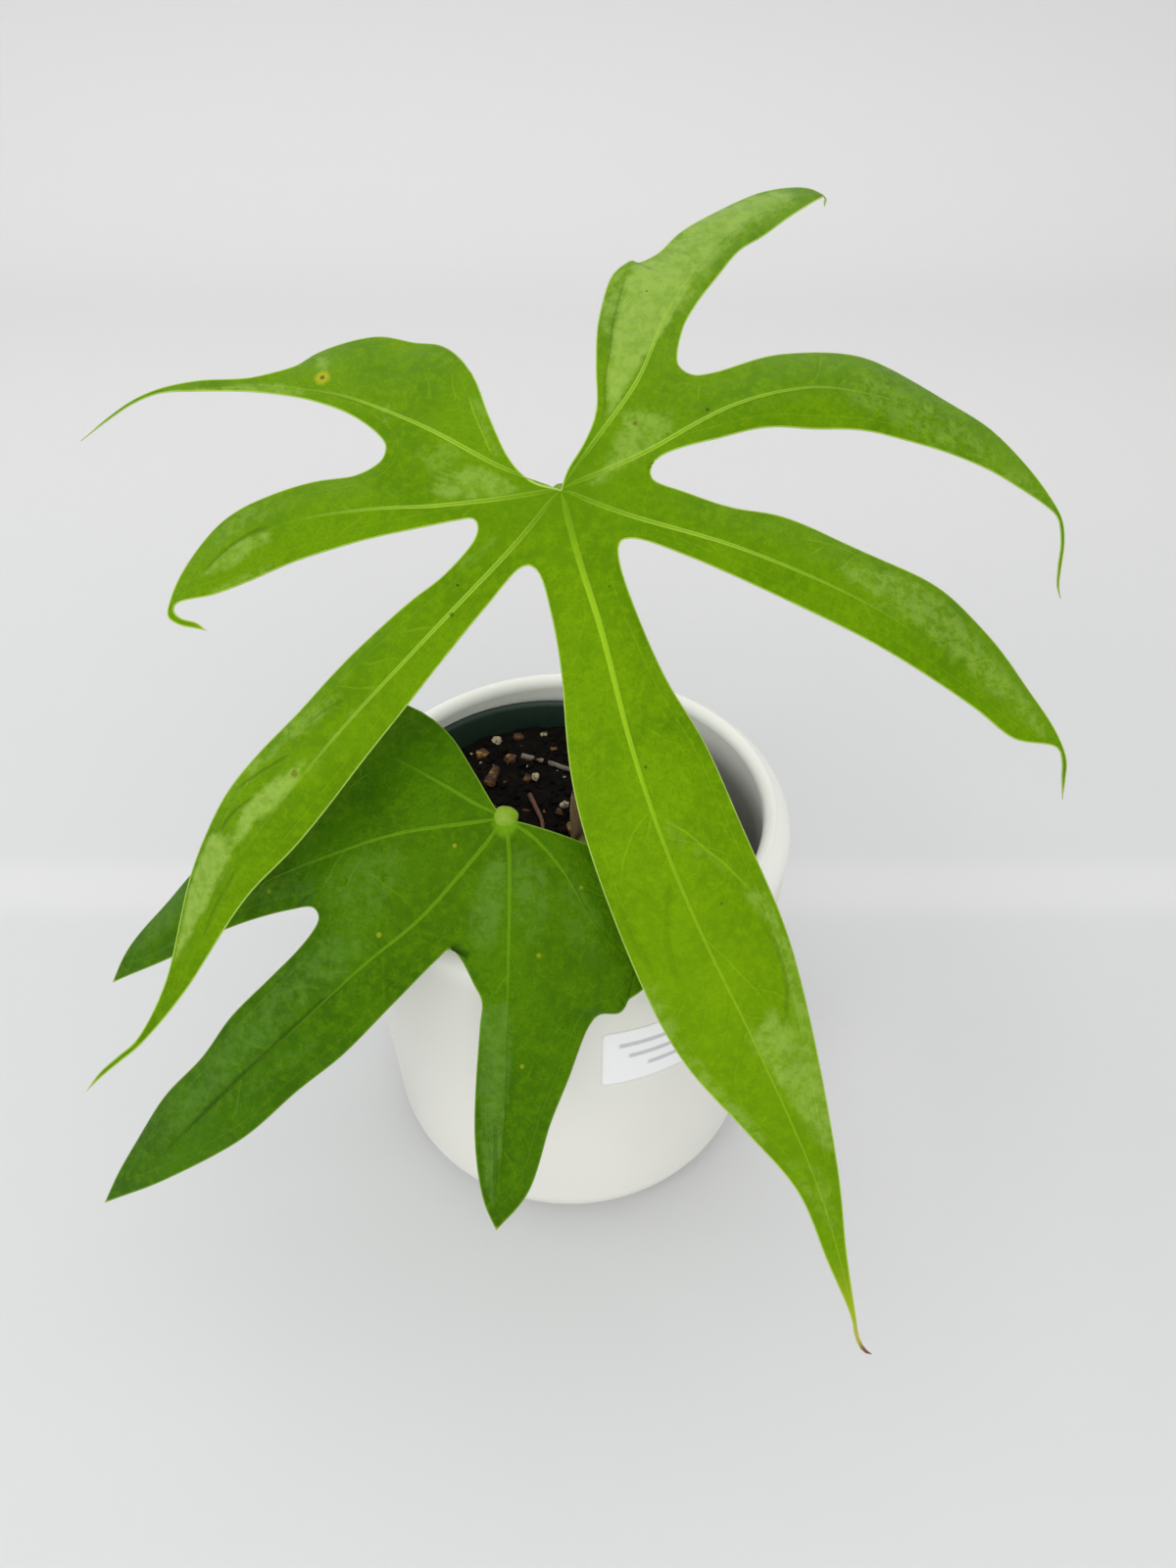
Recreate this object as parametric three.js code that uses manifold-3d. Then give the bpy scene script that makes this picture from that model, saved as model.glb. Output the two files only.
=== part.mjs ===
// Potted anthurium with two hand-shaped leaves, in a grow pot inside a ceramic cover pot.
// Millimetres, +Z up. The origin is the centre of the cover pot's flat underside.

import * as THREE from 'three';
import { mergeVertices } from 'three/addons/utils/BufferGeometryUtils.js';
import Module from 'manifold-3d';

const wasm = await Module();
wasm.setup();

// Clearance between pieces that touch in the real object
const GAP = 0.3;

// Cover pot
const POT_HEIGHT = 129;
const POT_RIM_RADIUS = 62.5;
const POT_MIDDLE_RADIUS = 60.5;
const POT_LOWER_RADIUS = 58.6;
const POT_MIDDLE_HEIGHT = 64;
const POT_FOOT_ROUND = 15;
const POT_WALL = 6.2;
const POT_FLOOR = 6;
const POT_INNER_ROUND = 9;
const POT_SEGMENTS = 48;

// Grow pot, which stands a little off centre on the cover pot's floor
const GROW_CENTRE = [-5, 3];
const GROW_TOP_HEIGHT = 122;
const GROW_RIM_RADIUS = 50;
const GROW_RIM_DROP = 6.7;
const GROW_TOP_RADIUS = 47.6;
const GROW_BASE_RADIUS = 36;
const GROW_WALL = 1;
const DRAIN_RADIUS = 4.5;
const DRAIN_CIRCLE = 24;
const DRAIN_COUNT = 6;

// Potting mix
const SOIL_LEVEL = 112.4;

// Short stem that carries the leaf stalks
const CROWN_CENTRE = [8, -10];
const CROWN_BASE_HEIGHT = 104.7;
const CROWN_TOP_HEIGHT = 121.7;
const CROWN_RADIUS = 6.2;

// Leaf stalks
const UPPER_STALK_RADIUS = 1.9;
const LOWER_STALK_RADIUS = 1.9;
const KNUCKLE_RADIUS = 2.7;

// Leaf blades: thickness, and rows and columns of each lobe
const BLADE_THICKNESS = 0.7;
const LOBE_ROWS = 20;
const SEAM_ROWS = 4;
const HALF_COLUMNS = 2;
const TAIL_HALF_WIDTH = 0.9;

// Sticker on the front of the cover pot
const LABEL_ANGLES = [-81.5, -38];
const LABEL_HEIGHTS = [77.5, 101.5];
const LABEL_THICKNESS = 0.25;

// Upper leaf. Points are [across, along] on the flat leaf, from the joint with its stalk, and a
// third number is how far that point hangs below the leaf's own curve.
// A sinus is the bottom of the gap between two lobes. Left is the anticlockwise side from above.
const UPPER_LEAF = {
  joint: [-0.7, 0, 223],
  tilt: 38,
  sag: 0.0017,
  sinuses: [[27.5, 34], [21, 4], [13.5, -12], [-7, -17.5], [-19, -8], [-40.5, 13.5]],
  lobes: [
    {
      rib: [[3.2, 5.2], [8, 12.6], [17.5, 28.5], [25.5, 51], [35.5, 71], [49, 91]],
      left: [[1.4, 4.6], [5.4, 12], [8, 20], [8, 32.5], [8.5, 45.5], [12.5, 63.5], [17, 68], [23, 73],
        [29, 80.5], [44, 97.5], [52, 104.5], [61.5, 109]],
      right: [[28.5, 44.5], [32, 53.5], [37.5, 64], [43.5, 75], [50, 83], [60.5, 97.5]],
      tail: [[67, 107, 0], [67.6, 106.8, 0.8], [67.5, 106.5, 2.4]],
    },
    {
      rib: [[18.5, 9.5], [39, 24], [51.5, 30.5], [64, 34.5], [84.5, 34.5], [101, 29], [114, 23.5]],
      left: [[30.5, 32], [35.5, 33.5], [53.5, 43.5], [71.5, 48], [82, 46.5], [95, 41], [106, 36], [114, 28.5]],
      right: [[25, 8.5], [36, 15], [48, 20.5], [61.5, 23.5], [76, 25.5], [100.5, 24], [110.5, 21.5]],
      tail: [[121, 18, 0], [122, 16.5, 1], [123, 15, 4], [123.5, 13.5, 9], [124, 12, 12.5], [125.5, 11.5, 15]],
    },
    {
      rib: [[15, -5.5], [42.5, -11.5], [73.5, -20], [89.5, -26.5], [105, -34]],
      left: [[28.5, 1.5], [39, -1], [51, -1.5], [75, -7], [90, -11], [99.5, -17.5], [105.5, -23], [112.5, -31]],
      right: [[16, -11], [28.5, -14], [46, -19.5], [64, -25], [81, -30.5], [96.5, -36.5], [106, -40.5]],
      tail: [[117.5, -39, 0], [119, -41, 1.5], [119.5, -42.5, 4], [120.5, -44, 8.5]],
    },
    {
      rib: [[4, -15.5], [9, -31], [16, -55.5], [23, -73.5], [31.5, -90], [44.5, -110.5], [59.5, -135.5]],
      left: [[13.5, -17], [23.5, -40], [32.5, -53], [39.5, -66.5], [52.5, -91], [59.5, -114], [63.5, -131],
        [65.5, -144]],
      right: [[-5, -19], [-2, -28.5], [0, -39], [2.5, -61.5], [7.5, -78], [19.5, -102.5], [28, -114],
        [41.5, -125], [54, -135], [61, -146.5]],
      tail: [[67.7, -156, 0], [68.7, -159.5, 0], [70.5, -161.5, 0.3], [72.5, -162, 0.5]],
    },
    {
      rib: [[-11, -13.5], [-31, -33], [-56, -55.5], [-78, -77.5], [-90, -95.5]],
      left: [[-9, -18], [-16, -25.5], [-38, -49.5], [-59.5, -70.5], [-71.5, -79.5], [-86, -95]],
      right: [[-19.5, -11], [-26.5, -18.5], [-34, -23.5], [-46.5, -32.5], [-59.5, -43.5], [-68, -50],
        [-76.5, -58], [-82, -66], [-85, -72.5], [-90.5, -92]],
      tail: [[-97.5, -102.5, 0], [-102.5, -104.5, 0.5], [-108, -106, 2], [-112.5, -107.5, 4]],
    },
    {
      rib: [[-15.5, -2], [-29, -2.5], [-45, -1.5], [-66, -2], [-80.5, -8]],
      left: [[-20, -6.5], [-29, -7], [-50, -9], [-61.5, -10.5], [-80.5, -14.5]],
      right: [[-41.5, 10.5], [-47.5, 8.5], [-57, 8.5], [-68, 7], [-76.5, 5], [-81.5, 2], [-88, -6.5]],
      tail: [[-90.5, -14, 0], [-91, -16, 0.7], [-89, -17.3, 1.8], [-85, -18.7, 2.5], [-82.5, -20, 3]],
    },
    {
      rib: [[-13, 5.5], [-33, 18.5], [-54, 30.5], [-74, 38], [-89, 42.5]],
      left: [[-42, 16.5], [-48.5, 23], [-59, 29.5], [-71.5, 35], [-88.5, 41]],
      right: [[-6.5, 2], [-11.5, 7.5], [-16.5, 19], [-21, 31.5], [-28.5, 41], [-36, 43.5], [-45, 46.5],
        [-59.5, 45], [-64, 41.5], [-74, 40.5], [-89, 44.5]],
      tail: [[-99, 45.2, 0], [-106, 45.5, 0.5], [-113.5, 46, 2.5], [-122.5, 47.5, 6]],
    },
  ],
};

// Lower leaf, older and darker, with five lobes and blunt ends
const LOWER_LEAF = {
  joint: [-14.1, -40.8, 159],
  tilt: 40,
  sag: 0.0035,
  sinuses: [[28.5, -39], [-13, -28.5], [-45, -18], [-52.5, 16]],
  lobes: [
    {
      rib: [[7, -4.5], [14, -12], [21.5, -23]],
      left: [[4.5, -1], [14, -3.5], [22, -6], [30, -10], [36.5, -16.5], [39, -24]],
      right: [[29.5, -37.5], [31.5, -36]],
      tail: [[34.5, -33.5, 0]],
    },
    {
      rib: [[1, -8], [1, -25], [0.5, -43], [0, -58], [-1, -70.5]],
      left: [[27, -40.5], [22.5, -41.5], [20, -44], [15, -54.5], [11, -62.5], [5.5, -75.5]],
      right: [[-11, -30], [-7.5, -36], [-5.5, -39.5], [-6, -44.5], [-7.5, -66], [-5.5, -77]],
      tail: [[-2.5, -82.5, 0]],
    },
    {
      rib: [[-6, -7.5], [-20, -21.5], [-34, -30], [-50, -39.5], [-67, -48], [-82, -55], [-95.5, -60]],
      left: [[-16, -30.5], [-26.5, -38.5], [-39.5, -47.5], [-51.5, -53], [-66, -59.5], [-88, -62.5]],
      right: [[-46.5, -20.5], [-58.5, -28.5], [-69, -34.5], [-77, -40.5], [-88.5, -46], [-98, -54]],
      tail: [[-106, -62, 0]],
    },
    {
      rib: [[-10.5, -1], [-27, -2], [-44, -4.5], [-59, -6.5], [-75, -10.5], [-89, -13]],
      left: [[-46.5, -15.5], [-53.5, -14.5], [-69, -14.5], [-85, -16]],
      right: [[-62, 12.5], [-71.5, 7.5], [-80.5, 3.5], [-88.5, -1.5], [-97.5, -8]],
      tail: [[-102.5, -15, 0]],
    },
    {
      rib: [[-6, 3], [-18, 11], [-30, 18.5]],
      left: [[-51, 18.5]],
      right: [[-2, 2], [-7.5, 11.5], [-14, 22.5], [-21.5, 30], [-27, 33], [-34.5, 32.5], [-41, 28.5]],
      tail: [[-47, 22.5, 0]],
    },
  ],
};

// Loose pieces on the potting mix: place, length, width, height and turn in degrees
const BARK_CHIPS = [
  { at: [-23.5, 25.5], size: [4.5, 11, 2.6], turn: -14 },
  { at: [-27.5, 36], size: [6, 4.5, 2.4], turn: 30 },
  { at: [-18.5, 34], size: [5.5, 4, 2.2], turn: -25 },
  { at: [2, 3], size: [8, 6, 3], turn: 20 },
  { at: [-16.5, 44], size: [5, 4, 2.4], turn: 10 },
];
const PERLITE_GRAINS = [
  { at: [-23, 41.5], size: [4.6, 4.2, 3.4], turn: 0 },
  { at: [-8.5, 45], size: [3.6, 3, 2.4], turn: 40 },
  { at: [-10.5, 25], size: [3.4, 4.2, 2.6], turn: 15 },
  { at: [-1.5, 12.5], size: [3.8, 3.4, 2.8], turn: 60 },
];
const TWIG_ROUTE = [[-15, 35], [-7, 32], [0, 28.5], [8, 26]];
const TWIG_RADIUS = 1;
const ROOT_ROUTE = [[-12, 17.5], [-10, 12], [-8, 6], [-7.5, 0]];
const ROOT_RADIUS = 0.8;

const COLOURS = {
  glaze: 0xdfe0d9,
  growPot: 0x1f3a30,
  mix: 0x2a1d14,
  stem: 0x5f7a2a,
  freshLeaf: 0x629500,
  darkLeaf: 0x3f6d02,
  sheath: 0x8a6a43,
  label: 0xeff1ee,
  bark: 0x7d4a25,
  perlite: 0xd9d5c8,
  twig: 0x8b7d6c,
};

const degrees = THREE.MathUtils.degToRad;
const object = new THREE.Group();

// Adds one named piece to the object
function addPiece(name, geometry, colour, roughness) {
  const material = new THREE.MeshStandardMaterial({ color: colour, roughness, metalness: 0 });
  const mesh = new THREE.Mesh(geometry, material);
  mesh.name = name;
  object.add(mesh);
}

// Points on a quarter or half circle, for a lathe profile
function arcPoints(centreX, centreY, radius, fromDegrees, toDegrees, steps) {
  const points = [];
  for (let i = 0; i <= steps; i += 1) {
    const angle = degrees(fromDegrees + ((toDegrees - fromDegrees) * i) / steps);
    points.push([centreX + radius * Math.cos(angle), centreY + radius * Math.sin(angle)]);
  }
  return points;
}

// Turns a profile of [radius, height] points about the Z axis
function turned(profile, segments) {
  const points = profile.map(([radius, height]) => new THREE.Vector2(radius, height));
  const geometry = new THREE.LatheGeometry(points, segments);
  geometry.rotateX(Math.PI / 2);
  return geometry;
}

// Merges a geometry's shared corners and leaves only their positions
function merged(geometry) {
  const plain = geometry.clone();
  plain.deleteAttribute('normal');
  plain.deleteAttribute('uv');
  return mergeVertices(plain, 1e-4);
}

function toSolid(geometry) {
  const plain = merged(geometry);
  const corners = Array.from(plain.index.array);
  const triangles = [];
  for (let i = 0; i < corners.length; i += 3) {
    const [a, b, c] = corners.slice(i, i + 3);
    if (a !== b && b !== c && c !== a) {
      triangles.push(a, b, c);
    }
  }
  const vertProperties = Float32Array.from(plain.attributes.position.array);
  const triVerts = Uint32Array.from(triangles);
  return new wasm.Manifold(new wasm.Mesh({ numProp: 3, vertProperties, triVerts }));
}

function toGeometry(solid) {
  const mesh = solid.getMesh();
  const geometry = new THREE.BufferGeometry();
  geometry.setAttribute('position', new THREE.BufferAttribute(mesh.vertProperties, 3));
  geometry.setIndex(new THREE.BufferAttribute(mesh.triVerts, 1));
  return geometry;
}

// Gives a sheet of corners and triangles a thickness. Its triangles face up or outwards, and
// backOf returns the corner behind each one.
function thickened(corners, triangles, backOf) {
  const count = corners.length;
  const all = corners.concat(corners.map(backOf));
  const index = [];
  const edges = new Set();
  triangles.forEach(([a, b, c]) => {
    index.push(a, b, c);
    index.push(a + count, c + count, b + count);
    edges.add(`${a},${b}`);
    edges.add(`${b},${c}`);
    edges.add(`${c},${a}`);
  });
  edges.forEach((edge) => {
    const [from, to] = edge.split(',').map(Number);
    if (!edges.has(`${to},${from}`)) {
      index.push(to, from, from + count);
      index.push(to, from + count, to + count);
    }
  });
  const geometry = new THREE.BufferGeometry();
  geometry.setFromPoints(all);
  geometry.setIndex(index);
  return geometry;
}

// Tube with a round section along a route of points
function tube(route, radius, steps, sides = 8) {
  const points = route.map((point) => new THREE.Vector3(...point));
  const path = new THREE.CatmullRomCurve3(points, false, 'centripetal');
  const section = new THREE.Shape();
  for (let i = 0; i < sides; i += 1) {
    const angle = (2 * Math.PI * i) / sides;
    const x = radius * Math.cos(angle);
    const y = radius * Math.sin(angle);
    if (i === 0) {
      section.moveTo(x, y);
    } else {
      section.lineTo(x, y);
    }
  }
  return new THREE.ExtrudeGeometry(section, { steps, extrudePath: path, bevelEnabled: false });
}

// Cover pot: one turned wall with a rounded foot and a rounded lip
const lipRadius = POT_WALL / 2;
const lipHeight = POT_HEIGHT - lipRadius;
const innerRim = POT_RIM_RADIUS - POT_WALL;
const innerMiddle = POT_MIDDLE_RADIUS - POT_WALL;
const innerLower = POT_LOWER_RADIUS - POT_WALL;
const footX = POT_LOWER_RADIUS - POT_FOOT_ROUND;
const innerFootX = innerLower - POT_INNER_ROUND;
const innerFootZ = POT_FLOOR + POT_INNER_ROUND;

function coverPot() {
  return turned([
    [0, 0],
    ...arcPoints(footX, POT_FOOT_ROUND, POT_FOOT_ROUND, -90, 0, 6),
    [POT_MIDDLE_RADIUS, POT_MIDDLE_HEIGHT],
    ...arcPoints(POT_RIM_RADIUS - lipRadius, lipHeight, lipRadius, 0, 180, 8),
    [innerMiddle, POT_MIDDLE_HEIGHT],
    ...arcPoints(innerFootX, innerFootZ, POT_INNER_ROUND, 0, -90, 4),
    [0, POT_FLOOR],
  ], POT_SEGMENTS);
}

// Grow pot: thin tapered wall with a collar rim and drain holes in its base
const growBase = POT_FLOOR + GAP;
const growRimBase = GROW_TOP_HEIGHT - GROW_RIM_DROP;

function growPot() {
  const inner = GROW_TOP_RADIUS - GROW_WALL;
  const shell = turned([
    [0, growBase],
    [GROW_BASE_RADIUS - 1.5, growBase],
    [GROW_BASE_RADIUS, growBase + 1.5],
    [GROW_TOP_RADIUS, growRimBase],
    [GROW_RIM_RADIUS, growRimBase + 0.4],
    [GROW_RIM_RADIUS, GROW_TOP_HEIGHT - 0.8],
    [GROW_RIM_RADIUS - 0.6, GROW_TOP_HEIGHT],
    [inner + 1.4, GROW_TOP_HEIGHT],
    [inner + 0.8, GROW_TOP_HEIGHT - 0.7],
    [inner, growRimBase],
    [GROW_BASE_RADIUS - GROW_WALL, growBase + GROW_WALL],
    [0, growBase + GROW_WALL],
  ], POT_SEGMENTS);
  let solid = toSolid(shell);
  for (let i = 0; i < DRAIN_COUNT; i += 1) {
    const angle = (2 * Math.PI * i) / DRAIN_COUNT;
    const hole = new THREE.CylinderGeometry(DRAIN_RADIUS, DRAIN_RADIUS, 6 * GROW_WALL, 16);
    hole.rotateX(Math.PI / 2);
    hole.translate(DRAIN_CIRCLE * Math.cos(angle), DRAIN_CIRCLE * Math.sin(angle), growBase);
    solid = solid.subtract(toSolid(hole));
  }
  return toGeometry(solid).translate(...GROW_CENTRE, 0);
}

// Potting mix: fills the grow pot, with a pocket where the stem is planted
function pottingMix() {
  const base = growBase + GROW_WALL + GAP;
  const slope = (GROW_TOP_RADIUS - GROW_BASE_RADIUS) / (growRimBase - growBase);
  const baseRadius = GROW_BASE_RADIUS - GROW_WALL - GAP;
  const topRadius = baseRadius + slope * (SOIL_LEVEL - base) - GAP;
  const slug = turned([
    [0, base],
    [baseRadius - 0.5, base],
    [topRadius, SOIL_LEVEL],
    [0, SOIL_LEVEL],
  ], POT_SEGMENTS).translate(...GROW_CENTRE, 0);
  const depth = CROWN_TOP_HEIGHT - CROWN_BASE_HEIGHT;
  const pocketRadius = CROWN_RADIUS + 1.2 + GAP;
  const pocket = new THREE.CylinderGeometry(pocketRadius, pocketRadius, depth, 24);
  pocket.rotateX(Math.PI / 2);
  pocket.translate(...CROWN_CENTRE, CROWN_BASE_HEIGHT - GAP + depth / 2);
  return toGeometry(toSolid(slug).subtract(toSolid(pocket)));
}

// Stem: a short knobbly stub with a root collar
function crown() {
  return turned([
    [0, CROWN_BASE_HEIGHT],
    [CROWN_RADIUS - 1, CROWN_BASE_HEIGHT],
    [CROWN_RADIUS + 1.2, CROWN_BASE_HEIGHT + 3],
    [CROWN_RADIUS + 1.2, CROWN_BASE_HEIGHT + 6.5],
    [CROWN_RADIUS, CROWN_BASE_HEIGHT + 8.5],
    [CROWN_RADIUS, CROWN_TOP_HEIGHT - 2],
    [CROWN_RADIUS - 0.7, CROWN_TOP_HEIGHT],
    [0, CROWN_TOP_HEIGHT],
  ], 20).translate(...CROWN_CENTRE, 0);
}

// Dry papery sheath that stands round part of the stem
function sheath(middleAngle, spread, height, lean) {
  const corners = [];
  const triangles = [];
  const rows = 6;
  const columns = 6;
  for (let i = 0; i <= rows; i += 1) {
    const rise = i / rows;
    const half = degrees(spread) * Math.sqrt(1 - 0.94 * rise * rise);
    const radius = CROWN_RADIUS + GAP + 0.6 + lean * rise * rise;
    for (let j = 0; j <= columns; j += 1) {
      const angle = degrees(middleAngle) + half * ((2 * j) / columns - 1);
      corners.push(new THREE.Vector3(
        CROWN_CENTRE[0] + radius * Math.cos(angle),
        CROWN_CENTRE[1] + radius * Math.sin(angle),
        SOIL_LEVEL + GAP + height * rise,
      ));
    }
  }
  for (let i = 0; i < rows; i += 1) {
    for (let j = 0; j < columns; j += 1) {
      const a = i * (columns + 1) + j;
      const b = a + columns + 1;
      triangles.push([a, a + 1, b + 1], [a, b + 1, b]);
    }
  }
  const inward = (point) => {
    const dx = CROWN_CENTRE[0] - point.x;
    const dy = CROWN_CENTRE[1] - point.y;
    const scale = 0.5 / Math.hypot(dx, dy);
    return new THREE.Vector3(point.x + dx * scale, point.y + dy * scale, point.z);
  };
  return thickened(corners, triangles, inward);
}

// Height and place of a point of a leaf, from its place on the flat leaf
function leafPoint(leaf, [across, along, drop]) {
  const reach = Math.hypot(across, along);
  const tilt = degrees(leaf.tilt);
  return new THREE.Vector3(
    leaf.joint[0] + across,
    leaf.joint[1] + along * Math.cos(tilt),
    leaf.joint[2] + along * Math.sin(tilt) - leaf.sag * reach * reach - drop,
  );
}

function flatCurve(points) {
  const vectors = points.map(([x, y, drop = 0]) => new THREE.Vector3(x, y, drop));
  return new THREE.CatmullRomCurve3(vectors, false, 'centripetal');
}

// Margin of a lobe's thin tail, to one side of its middle
function tailMargin(lobe, side) {
  const middle = lobe.tail;
  const before = lobe.rib[lobe.rib.length - 1];
  return middle.map((point, i) => {
    if (i === middle.length - 1) {
      return point;
    }
    const last = i === 0 ? before : middle[i - 1];
    const next = middle[i + 1];
    const dx = next[0] - last[0];
    const dy = next[1] - last[1];
    const scale = (side * TAIL_HALF_WIDTH * (1 - (0.5 * i) / middle.length)) / Math.hypot(dx, dy);
    return [point[0] - dy * scale, point[1] + dx * scale, point[2]];
  });
}

// Whole blade: each lobe is a strip of rows from the joint to its tip, and neighbours share the
// straight seam from the joint to the sinus between them.
function blade(leaf) {
  const corners = [];
  const places = new Map();
  const triangles = [];
  const cornerAt = (point) => {
    const key = point.map((value) => value.toFixed(3)).join(' ');
    if (!places.has(key)) {
      places.set(key, corners.length);
      corners.push(leafPoint(leaf, point));
    }
    return places.get(key);
  };
  leaf.lobes.forEach((lobe, number) => {
    const rib = flatCurve([[0, 0, 0], ...lobe.rib, ...lobe.tail]);
    const seams = [leaf.sinuses[number - 1], leaf.sinuses[number]];
    const margins = [
      flatCurve([seams[0] || [0, 0], ...lobe.left, ...tailMargin(lobe, 1)]),
      flatCurve([seams[1] || [0, 0], ...lobe.right, ...tailMargin(lobe, -1)]),
    ];
    const reaches = seams.filter(Boolean).map(([x, y]) => Math.hypot(x, y));
    const meanReach = reaches.reduce((sum, value) => sum + value, 0) / reaches.length;
    const seamShare = (0.9 * meanReach) / rib.getLength();
    const rows = [];
    for (let i = 0; i <= LOBE_ROWS; i += 1) {
      const past = Math.max(0, i - SEAM_ROWS) / (LOBE_ROWS - SEAM_ROWS);
      const along = i < SEAM_ROWS ? (seamShare * i) / SEAM_ROWS : seamShare + (1 - seamShare) * past;
      const middle = rib.getPointAt(along);
      const sides = margins.map((margin, side) => {
        if (!seams[side]) {
          return margin.getPointAt(along);
        }
        if (i < SEAM_ROWS) {
          const share = i / SEAM_ROWS;
          return new THREE.Vector3(seams[side][0] * share, seams[side][1] * share, 0);
        }
        return margin.getPointAt(past);
      });
      const row = [];
      for (let j = -HALF_COLUMNS; j <= HALF_COLUMNS; j += 1) {
        const side = j < 0 ? sides[0] : sides[1];
        const point = middle.clone().lerp(side, Math.abs(j) / HALF_COLUMNS);
        row.push(cornerAt(point.toArray()));
      }
      rows.push(row);
    }
    for (let i = 0; i < LOBE_ROWS; i += 1) {
      for (let j = 0; j < 2 * HALF_COLUMNS; j += 1) {
        const [a, b, c, d] = [rows[i][j], rows[i][j + 1], rows[i + 1][j + 1], rows[i + 1][j]];
        [[a, b, c], [a, c, d]].forEach((triangle) => {
          if (new Set(triangle).size === 3) {
            triangles.push(triangle);
          }
        });
      }
    }
  });
  const tilt = degrees(leaf.tilt);
  const down = new THREE.Vector3(0, Math.sin(tilt), -Math.cos(tilt)).multiplyScalar(BLADE_THICKNESS);
  return thickened(corners, triangles, (point) => point.clone().add(down));
}

// Point below a leaf's joint, measured square to its blade
function underJoint(leaf, distance) {
  const tilt = degrees(leaf.tilt);
  const [x, y, z] = leaf.joint;
  return [x, y + distance * Math.sin(tilt), z - distance * Math.cos(tilt)];
}

// Upper stalk: rises behind the leaf and meets the blade square to its underside
function upperStalk() {
  return tube([
    [CROWN_CENTRE[0] + 2.2, CROWN_CENTRE[1] + 1.6, CROWN_TOP_HEIGHT + GAP],
    [11, -7, 145],
    [9.5, 1, 175],
    [4.5, 8.5, 200],
    underJoint(UPPER_LEAF, 10),
    underJoint(UPPER_LEAF, BLADE_THICKNESS + 0.6),
  ], UPPER_STALK_RADIUS, 26);
}

const knuckleCentre = [LOWER_LEAF.joint[0], LOWER_LEAF.joint[1] + 0.6, LOWER_LEAF.joint[2] - 1];

function knuckle(radius) {
  return new THREE.SphereGeometry(radius, 14, 10).translate(...knuckleCentre);
}

// Lower stalk: leans out of the side of the stem and ends in a swollen knuckle
function lowerStalk() {
  const [x, y] = CROWN_CENTRE;
  const start = CROWN_RADIUS + GAP + 0.3;
  const stalk = tube([
    [x - 0.6 * start, y - 0.8 * start, 117.6],
    [-1.5, -22.3, 119.5],
    [-7.5, -29.5, 127],
    [-12.3, -36.8, 142],
    knuckleCentre,
  ], LOWER_STALK_RADIUS, 22);
  return toGeometry(toSolid(stalk).add(toSolid(knuckle(KNUCKLE_RADIUS))));
}

// Outer radius of the cover pot at a height on its straight wall
function potRadius(height) {
  const share = (height - POT_MIDDLE_HEIGHT) / (lipHeight - POT_MIDDLE_HEIGHT);
  return POT_MIDDLE_RADIUS + (POT_RIM_RADIUS - POT_MIDDLE_RADIUS) * share;
}

// Sticker: a thin patch that follows the cover pot's wall
function label() {
  const corners = [];
  const triangles = [];
  const columns = 8;
  for (let i = 0; i <= 1; i += 1) {
    const height = LABEL_HEIGHTS[i];
    for (let j = 0; j <= columns; j += 1) {
      const angle = degrees(LABEL_ANGLES[0] + ((LABEL_ANGLES[1] - LABEL_ANGLES[0]) * j) / columns);
      const radius = potRadius(height) + GAP + LABEL_THICKNESS;
      corners.push(new THREE.Vector3(radius * Math.cos(angle), radius * Math.sin(angle), height));
    }
  }
  for (let j = 0; j < columns; j += 1) {
    const above = j + columns + 1;
    triangles.push([j, j + 1, above + 1], [j, above + 1, above]);
  }
  const inward = (point) => {
    const scale = 1 - LABEL_THICKNESS / Math.hypot(point.x, point.y);
    return new THREE.Vector3(point.x * scale, point.y * scale, point.z);
  };
  return thickened(corners, triangles, inward);
}

// Loose piece lying on the potting mix
function onSoil(geometry, { at, size, turn }) {
  geometry.scale(size[0] / 2, size[1] / 2, size[2] / 2);
  geometry.rotateZ(degrees(turn));
  geometry.computeBoundingBox();
  return geometry.translate(at[0], at[1], SOIL_LEVEL + GAP - geometry.boundingBox.min.z);
}

function barkChip(piece) {
  const block = new THREE.CylinderGeometry(0.72, 1, 2, 7);
  block.rotateX(Math.PI / 2);
  return onSoil(block, piece);
}

function perliteGrain(piece) {
  return onSoil(new THREE.IcosahedronGeometry(1, 1), piece);
}

function lyingStick(route, radius, steps) {
  return tube(route.map(([x, y]) => [x, y, SOIL_LEVEL + GAP + radius]), radius, steps, 6);
}

addPiece('cover_pot', coverPot(), COLOURS.glaze, 0.45);
addPiece('grow_pot', growPot(), COLOURS.growPot, 0.5);
addPiece('potting_mix', pottingMix(), COLOURS.mix, 1);
addPiece('stem', crown(), COLOURS.stem, 0.7);
addPiece('sheath_front', sheath(0, 46, 17, 1.2), COLOURS.sheath, 0.9);
addPiece('sheath_back', sheath(125, 50, 23, 1.6), COLOURS.sheath, 0.9);
addPiece('upper_stalk', upperStalk(), COLOURS.stem, 0.5);
addPiece('lower_stalk', lowerStalk(), COLOURS.stem, 0.5);
addPiece('upper_blade', blade(UPPER_LEAF), COLOURS.freshLeaf, 0.4);
const lowerBlade = toSolid(blade(LOWER_LEAF)).subtract(toSolid(knuckle(KNUCKLE_RADIUS + GAP)));
addPiece('lower_blade', toGeometry(lowerBlade), COLOURS.darkLeaf, 0.45);
addPiece('label', label(), COLOURS.label, 0.6);
addPiece('twig', lyingStick(TWIG_ROUTE, TWIG_RADIUS, 10), COLOURS.twig, 0.9);
addPiece('surface_root', lyingStick(ROOT_ROUTE, ROOT_RADIUS, 8), COLOURS.sheath, 0.8);
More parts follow.
